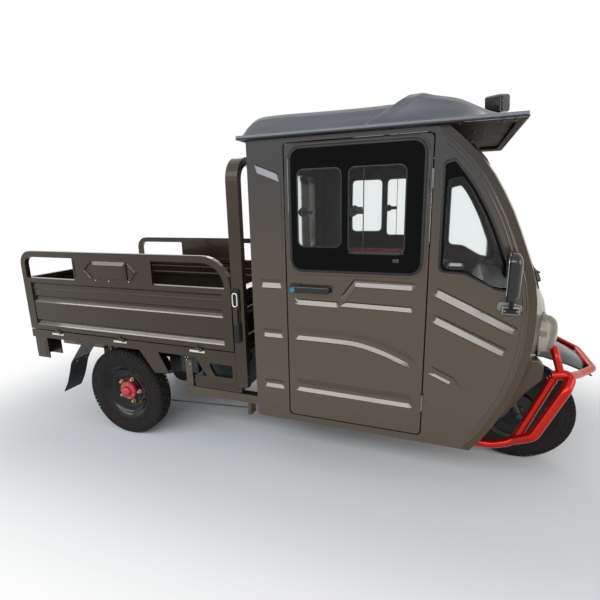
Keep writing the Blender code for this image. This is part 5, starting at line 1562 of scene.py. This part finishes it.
def mirror(side):
    """Foot, arm, shell and glass of one mirror; gives the places of its screws."""
    form = Form("door_mirror_" + word(side))
    face = HALF_WIDTH + 0.0003
    foot = rounded(
        [(1.132, 0.966, 0.014), (1.230, 0.958, 0.016), (1.228, 0.994, 0.014), (1.135, 1.008, 0.020)], 7
    )
    plate(form, foot, sided(side, face, face + 0.009), "Y", "hinge", 0.004, (), 3)
    block(
        form, (1.148, 1.222), sided(side, face + 0.004, face + 0.022), (0.950, 0.990), "abs_black", 0.009, 3
    )
    path = [(1.185, face + 0.012, 0.978), (1.184, face + 0.040, 1.000), (1.178, face + 0.060, 1.085)]
    tube(form, filleted([(x, side * y, z) for x, y, z in path], 0.03, 10), 0.0085, "abs_black", 18)
    rings = []
    for x, grow in (
        (1.1500, -0.0145), (1.1510, -0.0060), (1.1540, -0.0010), (1.1600, 0.0), (1.1720, -0.0005),
        (1.1840, -0.0055), (1.1930, -0.0150), (1.1985, -0.0280), (1.2000, -0.0420),
    ):
        corner = max(0.046 + grow, 0.006)
        outline = [
            (0.590 - grow, 1.038 - grow, corner * 0.7), (0.708 + grow, 1.026 - grow, corner * 0.7),
            (0.716 + grow, 1.218 + grow, corner), (0.604 - grow, 1.228 + grow, corner),
        ]
        rings.append([Vector((x, side * y, z)) for y, z in rounded(outline, 8)])
    rows_shell(form, rings, "abs_gloss")
    glass = [(0.608, 1.054, 0.02), (0.694, 1.046, 0.02), (0.700, 1.203, 0.028), (0.620, 1.211, 0.028)]
    outline = [(side * y, z) for y, z in rounded(glass, 8)]
    plate(form, outline, (1.1490, 1.1515), "X", "mirror", 0.0004)
    form.dress("chassis", ("mirror_" + word(side),), 40)
    return [((x, side * (face + 0.022), 0.969), (0, side, 0)) for x in (1.162, 1.208)]


class TRIKE_OT_mirrors(Operator):
    """Build the two door mirrors"""

    bl_idname = "trike.mirrors"
    bl_label = "Mirrors"

    def execute(self, context):
        screws = []
        for side in (-1, 1):
            screws += mirror(side)
        fasteners("mirror_screws", screws, "hinge", "chassis", "dome", 1.0)
        return {"FINISHED"}


# Cab hardware


def door_trim(side):
    """Handle, lock, bead and pressed creases of one door."""
    body = word(side) + "_door"
    face = HALF_WIDTH
    form = Form("door_hardware_" + word(side))
    z = 1.012
    grip = sided(side, face + 0.0085, face + 0.0345)
    block(form, (0.226, 0.416), grip, (z - 0.017, z + 0.018), "abs_gloss", 0.010, 4)
    block(
        form, (0.2100, 0.2640), sided(side, face + 0.001, face + 0.0120), (0.9910, 1.0370), "abs_gloss",
        0.003, 3,
    )
    rod(
        form, (0.232, side * (face + 0.030), 1.010), (0.232, side * (face + 0.037), 1.010), 0.0125,
        "lock_blue", 28,
    )
    block(
        form, (0.402, 0.424), sided(side, face - 0.001, face + 0.006), (0.998, 1.026), "abs_gloss", 0.003, 3
    )
    form.dress(body, (), 40)
    bead = Form("door_bead_" + word(side))
    block(bead, (0.243, 0.505), sided(side, face - 0.001, face + 0.0022), (1.0620, 1.0670), "enamel", 0.001)
    bead.dress(body)
    creases = Form("door_creases_" + word(side))
    swoosh = ((0.452, 0.962), (0.462, 0.973), (0.515, 1.046), (0.533, 1.061), (0.790, 1.056), (0.812, 1.050))
    press(creases, swoosh, side, 0.026, 0.0030)
    press(creases, ((0.222, 0.968), (0.250, 0.953), (0.440, 0.951), (0.455, 0.951)), side, 0.022, 0.0030)
    press(creases, ((0.455, 0.955), (0.470, 0.954), (0.785, 0.948), (0.806, 0.946)), side, 0.018, 0.0030)
    arc = ((0.222, 0.788), (0.245, 0.786), (0.370, 0.786), (0.500, 0.784), (0.550, 0.779), (0.595, 0.771))
    arc += ((0.640, 0.759), (0.690, 0.744), (0.790, 0.704), (0.822, 0.690))
    press(creases, arc, side, 0.036, 0.0055)
    press(creases, ((0.222, 0.508), (0.245, 0.507), (0.795, 0.500), (0.820, 0.500)), side, 0.034, 0.0065)
    creases.dress(body, (), 15)


def side_trim(side):
    """Pressed creases, seam beads and hinge pins of one cab side."""
    presses = Form("side_creases_" + word(side))
    for top, lift in ((1.040, 0.0040), (0.781, 0.0045), (0.502, 0.0060)):
        press(presses, [(x, top) for x in (0.042, 0.058, 0.150, 0.168)], side, 0.032, lift)
    for start, end in (((0.880, 1.046), (1.228, 0.882)), ((0.880, 0.924), (1.196, 0.786))):
        line = [tuple(Vector(start).lerp(Vector(end), t)) for t in (0, 0.06, 0.95, 1)]
        press(presses, line, side, 0.028, 0.0055)
    press(presses, ((0.878, 0.680), (0.900, 0.672), (0.985, 0.634), (1.045, 0.560)), side, 0.030, 0.0040)
    presses.dress("chassis", (), 15)
    pillar = Form("pillar_beads_" + word(side))
    for inset, low, high in ((0.006, 0.33, 1.69), (0.021, 0.36, 1.66)):
        line = [(x, side * HALF_WIDTH, z) for x, z in seam_outline(steps(low, high, 60), inset)]
        sweep(pillar, line, disc(0.0032, 10), "enamel", up=(0, side, 0))
    block(
        pillar, (0.1700, 0.1735), sided(side, HALF_WIDTH - 0.001, HALF_WIDTH + 0.0022), (1.196, 1.536),
        "enamel", 0.001,
    )
    pillar.dress("chassis")
    hinges = Form("door_hinge_pins_" + word(side))
    for low in (0.4625, 1.4655):
        rod(
            hinges, (0.854, side * 0.5595, low), (0.854, side * 0.5595, low + 0.079), 0.0062, "hinge", 20,
            0.001,
        )
    hinges.dress("chassis")


def door_lining(side):
    """Vinyl panel inside one door."""
    inner = Form("door_lining_" + word(side))
    inside = sided(side, HALF_WIDTH - 0.0345, HALF_WIDTH - 0.0395)
    plate(inner, oblong((0.205, 0.838), (0.360, 1.100), 0.03, 6), inside, "Y", "lining", 0.002)
    inner.dress(word(side) + "_door")


class TRIKE_OT_cab_trim(Operator):
    """Build door handles, hinges, creases, linings with black panels that partly stand in for the cab's inner
    shade, and mudguard trim
    """

    bl_idname = "trike.cab_trim"
    bl_label = "Cab trim"

    def execute(self, context):
        for side in (-1, 1):
            door_trim(side)
            side_trim(side)
            door_lining(side)
        # Black panels inside the cab's sides, header and back wall: partly lining, partly a dark sheet
        # standing in for the shade inside the cab
        lining = Form("cab_lining")
        for side in (-1, 1):
            inside = sided(side, HALF_WIDTH - 0.0345, HALF_WIDTH - 0.0380)
            plate(lining, oblong((0.040, 0.186), (0.790, 1.700), 0.02, 4), inside, "Y", "abs_black", 0.001)
            plate(lining, oblong((0.040, 0.870), (1.684, 1.704), 0.005, 4), inside, "Y", "abs_black", 0.001)
        hole = oblong((-0.366, 0.366), (1.114, 1.586), 0.04, 6)
        back = oblong((-0.510, 0.510), (0.790, 1.700), 0.03, 6)
        plate(lining, back, (0.0345, 0.0385), "X", "abs_black", 0.001, (hole,))
        lining.dress("chassis", ())
        edge = Form("mudguard_trim")
        rail = ((1.190, 0.170, 0.700), (1.260, 0.182, 0.697), (1.400, 0.190, 0.688), (1.500, 0.190, 0.662))
        rail += ((1.575, 0.165, 0.628), (1.625, 0.120, 0.590))
        for side in (-1, 1):
            path = [(x, side * y, z - 0.030) for x, y, z in rail]
            tube(edge, filleted(path, 0.08, 5), 0.0035, "seal", 10)
        edge.dress("chassis", ())
        return {"FINISHED"}


# Bed hardware


def bed_strips(side):
    """Hinge strips and corner pressing of one sill; gives the places of their rivets."""
    face = HALF_WIDTH
    rivets = []
    strips = Form("hinge_strips_" + word(side))
    for x in (-1.433, -0.917, -0.366):
        block(
            strips, (x - 0.050, x + 0.050), sided(side, face - 0.0005, face + 0.0042), (0.6125, 0.6245),
            "zinc",
        )
        for shift in (-0.038, 0.038):
            rivets.append(((x + shift, side * (face + 0.004), 0.619), (0, side, 0)))
    corner = rounded(
        [(-1.641, 0.574, 0.008), (-1.556, 0.574, 0.008), (-1.562, 0.455, 0.014), (-1.633, 0.455, 0.014)], 5
    )
    inset = rounded(
        [(-1.636, 0.569, 0.006), (-1.561, 0.569, 0.006), (-1.567, 0.460, 0.010), (-1.628, 0.460, 0.010)], 5
    )
    raised(strips, corner, inset, side, (face - 0.002, face, face + 0.004), "enamel_bed")
    strips.dress("chassis")
    return rivets


def gate_trim(side):
    """Fold lines and the stamped rail plate of one drop side, with painted highlight lines along the plate's
    chevrons.
    """
    face = HALF_WIDTH
    gate = word(side) + "_gate"
    folds = Form("gate_folds_" + word(side))
    for z, lift in ((0.833, -0.0032), (0.678, -0.0002)):
        press(folds, [(x, z) for x in (-1.612, -1.606, -0.150, -0.144)], side, 0.007, lift)
    folds.dress(gate, (), 12)
    stamp = Form("stamped_plate_" + word(side))
    for x in (-1.222, -0.637):
        block(
            stamp, (x, x + 0.006), sided(side, face - 0.008, face + 0.0015), (0.992, 1.118), "enamel_bed",
            0.0015,
        )
    low, high = 0.999, 1.109
    for xs in ((-1.213, -1.072), (-0.773, -0.640)):
        fill = [(xs[0], low), (xs[1], low), (xs[1], high), (xs[0], high)]
        plate(stamp, fill, sided(side, face - 0.009, face - 0.002), "Y", "enamel_bed", 0.0006)
    base = [(-1.060, low), (-0.812, low), (-0.812, high), (-1.060, high)]
    crest = [(-1.046, low + 0.010), (-0.826, low + 0.010), (-0.826, high - 0.022), (-1.046, high - 0.022)]
    raised(stamp, base, crest, side, (face - 0.009, face - 0.001, face + 0.009), "enamel_bed")
    middle = (low + high) / 2
    for x, way in ((-1.066, -1), (-0.806, 1)):
        outer = [
            (x, high), (x + way * 0.026, high), (x + way * 0.080, middle), (x + way * 0.026, low), (x, low)
        ]
        outer.append((x + way * 0.052, middle))
        ridge = [(x + way * 0.010, high - 0.003), (x + way * 0.018, high - 0.003), (x + way * 0.070, middle)]
        ridge += [(x + way * 0.018, low + 0.003), (x + way * 0.010, low + 0.003), (x + way * 0.062, middle)]
        raised(stamp, outer, ridge, side, (face - 0.009, face - 0.001, face + 0.007), "enamel_bed")
        # Thin grey steel lines along each chevron: painted highlights on the pressing's edges
        bend = [(x + way * 0.011, high - 0.006), (x + way * 0.061, middle), (x + way * 0.011, low + 0.006)]
        tube(stamp, [(u, side * (face + 0.0068), v) for u, v in bend], 0.0015, "hinge", 8)
    stamp.dress(gate, (), 20)
    welds = [((x, side * (face - 0.001), 0.992), (0, side, 0)) for x in (-1.05, -0.95, -0.80)]
    fasteners("plate_welds_" + word(side), welds, "zinc", gate, "dome", 0.7)


def bed_latches(side):
    """Latch of one drop side and of the tailgate."""
    face = HALF_WIDTH
    latch = Form("gate_latch_trim_" + word(side))
    spot = oblong((-0.121, -0.077), (0.872, 0.990), 0.006, 4)
    plate(latch, spot, sided(side, face, face + 0.0105), "Y", "abs_black", 0.001)
    loop = [(x, side * (face + 0.0135), z) for x, z in oblong((-0.113, -0.087), (0.898, 0.968), 0.012, 8)]
    tube(latch, loop, 0.0036, "zinc", 12, closed=True, up=(0, side, 0.01))
    block(
        latch, (-0.112, -0.080), sided(side, face + 0.008, face + 0.0215), (0.700, 0.805), "abs_black", 0.004,
        3,
    )
    latch.dress("chassis", ())
    tail = Form("tail_latch_" + word(side))
    block(tail, (-1.6895, -1.6700), sided(side, 0.418, 0.452), (0.824, 0.951), "abs_black", 0.003, 3)
    block(tail, (-1.6890, -1.6730), sided(side, 0.425, 0.445), (0.760, 0.830), "abs_black", 0.003, 3)
    tail.dress("rear_gate")


class TRIKE_OT_bed_trim(Operator):
    """Build hinge tabs, latches, stamped plates and fasteners of the bed"""

    bl_idname = "trike.bed_trim"
    bl_label = "Bed trim"

    def execute(self, context):
        rivets = []
        for side in (-1, 1):
            rivets += bed_strips(side)
            gate_trim(side)
            bed_latches(side)
        fasteners("strip_rivets", rivets, "zinc", "chassis", "dome", 0.6)
        return {"FINISHED"}


def mud_flap(side):
    """Steel bracket and rubber of one mud flap, and the apron under the rail."""
    flap = Form("mud_flap_" + word(side))
    inner = sided(side, HALF_WIDTH - 0.145, HALF_WIDTH - 0.008)
    steel = thick([(-1.222, 0.5815), (-1.252, 0.561), (-1.332, 0.464), (-1.368, 0.420)], 0.004)
    plate(flap, steel, inner, "Y", "enamel_bed", 0.0008)
    rubber = [(-1.352, 0.444), (-1.374, 0.412), (-1.398, 0.348), (-1.428, 0.278), (-1.474, 0.206)]
    plate(flap, thick(rubber, -0.005), inner, "Y", "abs_black", 0.0012)
    for y in (0.440, 0.510):
        rod(flap, (-1.372, side * y, 0.440), (-1.350, side * y, 0.428), 0.006, "bolt", 12)
    flap.dress("chassis", ("mud_flap_" + word(side),), 30)
    apron = Form("rail_apron_" + word(side))
    plate(
        apron, oblong((-0.436, -0.126), (0.372, 0.447), 0.004, 3), sided(side, 0.489, 0.495), "Y",
        "enamel_bed",
    )
    apron.dress("chassis")


def electrics(side):
    """Louvred plate and a moulded case under one side of the bed."""
    tray = Form("louvre_plate_" + word(side))
    slots = []
    for shift in (0.0, 0.034):
        x = -0.600 + shift
        slots.append([(x, 0.560), (x + 0.010, 0.560), (x + 0.034, 0.512), (x + 0.024, 0.512)])
    sheet = [(-0.665, 0.580), (-0.510, 0.580), (-0.455, 0.430), (-0.590, 0.430)]
    plate(tray, sheet, sided(side, 0.446, 0.449), "Y", "abs_black", 0.0006, slots)
    block(tray, (-0.535, -0.412), sided(side, 0.452, 0.492), (0.452, 0.572), "case_teal", 0.006, 3)
    for x, z in ((-0.500, 0.545), (-0.482, 0.545), (-0.492, 0.528), (-0.470, 0.505)):
        block(tray, (x, x + 0.008), sided(side, 0.490, 0.495), (z, z + 0.008), "zinc", 0.001)
    tray.dress("chassis")


class TRIKE_OT_running_gear(Operator):
    """Build the spring clamps, shackle plates, mud flaps and electrics under the bed"""

    bl_idname = "trike.running_gear"
    bl_label = "Running gear"

    def execute(self, context):
        form = Form("spring_clamps")
        for side in (-1, 1):
            y = side * 0.330
            for x in (REAR_AXLE_X - 0.045, REAR_AXLE_X + 0.045):
                path = filleted(
                    [
                        (x, y - 0.024, 0.262), (x, y - 0.024, 0.352), (x, y + 0.024, 0.352),
                        (x, y + 0.024, 0.262),
                    ],
                    0.016, 6,
                )
                tube(form, path, 0.005, "zinc", 12)
            for x, y in ((-1.250, 0.300), (-1.215, 0.352)):
                block(
                    form, (x - 0.011, x + 0.011), sided(side, y, y + 0.008), (0.360, 0.580), "shackle", 0.002
                )
        form.dress("chassis")
        for side in (-1, 1):
            mud_flap(side)
            electrics(side)
        return {"FINISHED"}


# Seat and controls


CLOTH_FRAMES = 20


def cushion_shape(name, xs, ys, zs):
    """A pad with rounded rims, to be remeshed and blown up by the simulation."""
    form = Form(name)
    block(form, xs, ys, zs, "vinyl", 0.018, 3)
    bmesh.ops.recalc_face_normals(form.work, faces=form.work.faces)
    mesh = bpy.data.meshes.new(name)
    form.work.to_mesh(mesh)
    form.work.free()
    mesh.materials.append(PAINTS["vinyl"])
    return linked(name, mesh)


def inflate(made, limit):
    """Remeshes a pad, lets cloth pressure swell it, caps the swelling and applies it."""
    remesh = made.modifiers.new("voxels", "REMESH")
    remesh.mode = "VOXEL"
    remesh.voxel_size = 0.009
    mesh = baked(made)
    made.modifiers.clear()
    made.data = mesh
    rest = [v.co.copy() for v in mesh.vertices]
    cloth = made.modifiers.new("pressure", "CLOTH")
    settings = cloth.settings
    settings.quality = 5
    settings.mass = 0.3
    settings.use_pressure = True
    settings.uniform_pressure_force = 4.0
    settings.effector_weights.gravity = 0.0
    for frame_number in range(1, CLOTH_FRAMES + 1):
        bpy.context.scene.frame_set(frame_number)
    swollen = baked(made)
    made.modifiers.clear()
    made.data = swollen
    for vert, start in zip(swollen.vertices, rest):
        move = vert.co - start
        if move.length > limit:
            vert.co = start + move.normalized() * limit
    soft = made.modifiers.new("soft", "SUBSURF")
    soft.levels = 1
    soft.render_levels = 1
    final = baked(made)
    made.modifiers.clear()
    made.data = final
    final.shade_smooth()
    final.materials.clear()
    final.materials.append(PAINTS["vinyl"])
    return made


class TRIKE_OT_cab_inside(Operator):
    """Build the seat pads, grips, levers and dashboard fittings"""

    bl_idname = "trike.cab_inside"
    bl_label = "Cab inside"

    def execute(self, context):
        pads = (
            ("seat_pad", (0.198, 0.622), (-0.292, 0.292), (0.694, 0.782), "seat_cushion"),
            ("back_pad", (0.040, 0.124), (-0.292, 0.292), (0.801, 1.104), "seat_back"),
        )
        for name, xs, ys, zs, node in pads:
            made = inflate(cushion_shape(name, xs, ys, zs), 0.008)
            settle(made, "chassis", (node,))
        seams = Form("seat_piping")
        path = [(x, y, 0.776) for x, y in oblong((0.196, 0.624), (-0.294, 0.294), 0.03, 6)]
        tube(seams, path, 0.0035, "vinyl", 8, closed=True)
        path = [(0.119, y, z) for y, z in oblong((-0.294, 0.294), (0.799, 1.106), 0.03, 6)]
        tube(seams, path, 0.0035, "vinyl", 8, closed=True, up=(1, 0, 0.01))
        seams.dress("chassis")

        dash = Form("dashboard_panel")
        plate(
            dash, oblong((-0.170, 0.170), (0.925, 1.000), 0.012, 6), (1.060, 1.066), "X", "abs_gloss", 0.001
        )
        plate(
            dash, oblong((-0.075, 0.075), (0.935, 0.992), 0.006, 4), (1.058, 1.0605), "X", "smoke_glass",
            0.0005,
        )
        dash.dress("chassis")

        grips = Form("handlebar_controls")
        top = axis_point(0.820)
        for side in (-1, 1):
            end = Vector((top.x - 0.060, side * 0.300, top.z + 0.025))
            inner = Vector((top.x - 0.040, side * 0.170, top.z + 0.030))
            way = (inner - end).normalized()
            profile = [(0.0, 0.0), (0.0155, 0.0), (0.0170, 0.003)]
            for i in range(14):
                at = 0.008 + i * 0.0078
                profile += [(0.0166, at), (0.0166, at + 0.0045), (0.0152, at + 0.0055), (0.0152, at + 0.0072)]
            profile += [(0.0180, 0.119), (0.0180, 0.123), (0.0, 0.123)]
            lathe(grips, profile, end - way * 0.005, way, "abs_black", 24)
            lever = [inner + Vector((0.018, 0, -0.004))]
            lever += [inner.lerp(end, 0.5) + Vector((0.050, 0, -0.010)), end + Vector((0.055, 0, -0.012))]
            tube(grips, filleted(lever, 0.05, 6), 0.0050, "cast", 12)
            rod(grips, inner - way * 0.004, inner + way * 0.030, 0.0190, "abs_black", 24, 0.003)
        block(
            grips, (top.x - 0.030, top.x + 0.050), (-0.070, 0.070), (top.z + 0.006, top.z + 0.050),
            "abs_gloss", 0.010, 3,
        )
        grips.dress("steering")
        return {"FINISHED"}


# Studio


# Half length and half width of the floor area that stays solid under the vehicle
FLOOR_HALF = (1.45, 0.45, 0.0)


def backdrop_share(tree):
    """1 for the rays that see the backdrop: camera, glossy and transmission rays."""
    path = add(tree, "ShaderNodeLightPath")
    shiny = add(
        tree,
        "ShaderNodeMath",
        None,
        {0: path.outputs["Is Glossy Ray"], 1: path.outputs["Is Transmission Ray"]},
        operation="MAXIMUM",
    )
    return add(
        tree, "ShaderNodeMath", None, {0: path.outputs["Is Camera Ray"], 1: shiny.outputs[0]},
        operation="MAXIMUM",
    ).outputs[0]


def studio_floor():
    """Pale matt floor that fades into the white backdrop well away from the vehicle."""
    made = surface("pale_studio_floor", linear("efeeec"), 0.7, tone=0.01, tone_size=1.0)
    tree = made.node_tree
    place = add(tree, "ShaderNodeTexCoord").outputs["Object"]
    mirrored = add(tree, "ShaderNodeVectorMath", None, {0: place}, operation="ABSOLUTE").outputs[0]
    beyond = add(tree, "ShaderNodeVectorMath", {1: FLOOR_HALF}, {0: mirrored}, operation="SUBTRACT")
    outside = add(tree, "ShaderNodeVectorMath", {1: (0, 0, 0)}, {0: beyond.outputs[0]}, operation="MAXIMUM")
    reach = add(tree, "ShaderNodeVectorMath", None, {0: outside.outputs[0]}, operation="LENGTH")
    links = {0: reach.outputs["Value"]}
    fade = add(tree, "ShaderNodeMapRange", {1: 0.25, 2: 1.35}, links, interpolation_type="SMOOTHSTEP")
    clear = add(tree, "ShaderNodeBsdfTransparent")
    mixed = add(
        tree,
        "ShaderNodeMixShader",
        None,
        {0: fade.outputs[0], 1: tree.nodes["Principled BSDF"].outputs[0], 2: clear.outputs[0]},
    )
    tree.links.new(mixed.outputs[0], tree.nodes["Material Output"].inputs["Surface"])
    return made


class TRIKE_OT_stage(Operator):
    """Set up the floor, the soft lights, the white surround and the camera"""

    bl_idname = "trike.stage"
    bl_label = "Stage"

    def execute(self, context):
        scene = context.scene
        half = 7.0
        floor_mesh = bpy.data.meshes.new("floor")
        corners = [(-half, -half, 0), (half, -half, 0), (half, half, 0), (-half, half, 0)]
        floor_mesh.from_pydata(corners, [], [(0, 1, 2, 3)])
        floor_mesh.materials.append(studio_floor())
        linked("floor", floor_mesh)

        world = bpy.data.worlds.new("studio")
        scene.world = world
        world.use_nodes = True
        tree = world.node_tree
        back = tree.nodes["Background"]
        seen = backdrop_share(tree)
        shade = add(
            tree,
            "ShaderNodeMix",
            {6: (0.93, 0.96, 1.0, 1.0), 7: (1.0, 1.0, 1.0, 1.0)},
            {0: seen},
            data_type="RGBA",
        )
        power = add(tree, "ShaderNodeMapRange", {1: 0.0, 2: 1.0, 3: 0.34, 4: 1.0}, {0: seen})
        tree.links.new(shade.outputs[2], back.inputs["Color"])
        tree.links.new(power.outputs[0], back.inputs["Strength"])

        # Name, place, point aimed at, size and watts; the low softbox is the one that the creases show
        lights = (
            ("low_softbox", STRIP, (-2.0, 0.0, 0.9), (13.6, 1.4), 370.0),
            ("high_softbox", (-0.8, -3.0, 4.4), (-0.4, 0.0, 0.8), (7.0, 2.2), 15.0),
            ("front", (5.6, -1.2, 2.4), (0.6, 0.0, 0.9), (2.4, 2.4), 60.0),
            ("far", (-1.0, 4.6, 3.0), (0.0, 0.0, 0.8), (4.0, 2.0), 60.0),
        )
        for name, place, target, size, watts in lights:
            light = bpy.data.lights.new(name, "AREA")
            light.shape = "RECTANGLE"
            light.energy = watts
            light.color = (0.84, 0.92, 1.0) if "softbox" in name else (1.0, 1.0, 1.0)
            light.size = size[0]
            light.size_y = size[1]
            holder = linked(name, light)
            holder.location = place
            holder.rotation_euler = (Vector(target) - Vector(place)).to_track_quat("-Z", "Y").to_euler()

        eye = bpy.data.cameras.new("camera")
        eye.sensor_width = 36.0
        eye.lens = 24.68
        camera = linked("camera", eye)
        # The picture's axes, as solved from the straight edges of the vehicle in the photograph
        right = Vector((0.93601994, 0.35136554, -0.02022182))
        down = Vector((0.06137894, -0.21954706, -0.9736692))
        ahead = Vector((-0.34655345, 0.9101326, -0.22706687))
        turn = Matrix((right, -down, -ahead)).transposed()
        camera.matrix_world = Matrix.Translation(EYE) @ turn.to_4x4()
        scene.camera = camera
        scene.view_settings.view_transform = "Standard"
        return {"FINISHED"}


OPERATORS = (
    TRIKE_OT_paint,
    TRIKE_OT_tyres,
    TRIKE_OT_wheels,
    TRIKE_OT_guard,
    TRIKE_OT_glazing,
    TRIKE_OT_roof,
    TRIKE_OT_lamps,
    TRIKE_OT_mirrors,
    TRIKE_OT_cab_trim,
    TRIKE_OT_bed_trim,
    TRIKE_OT_running_gear,
    TRIKE_OT_cab_inside,
    TRIKE_OT_stage,
)


class TRIKE_PT_panel(Panel):
    bl_label = "Tricycle"
    bl_idname = "TRIKE_PT_panel"
    bl_space_type = "VIEW_3D"
    bl_region_type = "UI"
    bl_category = "Tricycle"

    def draw(self, context):
        layout = self.layout
        for group in (context.scene.trike_paints, context.scene.trike_tyres, context.scene.trike_trim):
            for name in group.__annotations__:
                layout.prop(group, name)
        for operator in OPERATORS:
            layout.operator(operator.bl_idname)


GROUPS = (
    ("trike_paints", TricyclePaints),
    ("trike_tyres", TricycleTyres),
    ("trike_trim", TricycleTrim),
)


def register():
    for name, group in GROUPS:
        bpy.utils.register_class(group)
        setattr(bpy.types.Scene, name, PointerProperty(type=group))
    for made in (*OPERATORS, TRIKE_PT_panel):
        bpy.utils.register_class(made)


def unregister():
    for made in reversed((*OPERATORS, TRIKE_PT_panel)):
        bpy.utils.unregister_class(made)
    for name, group in reversed(GROUPS):
        delattr(bpy.types.Scene, name)
        bpy.utils.unregister_class(group)


RING = ring_tree()
SPOTS = spots_tree()


def main():
    register()
    for operator in OPERATORS:
        group, name = operator.bl_idname.split(".")
        getattr(getattr(bpy.ops, group), name)()


if __name__ == "__main__":
    main()
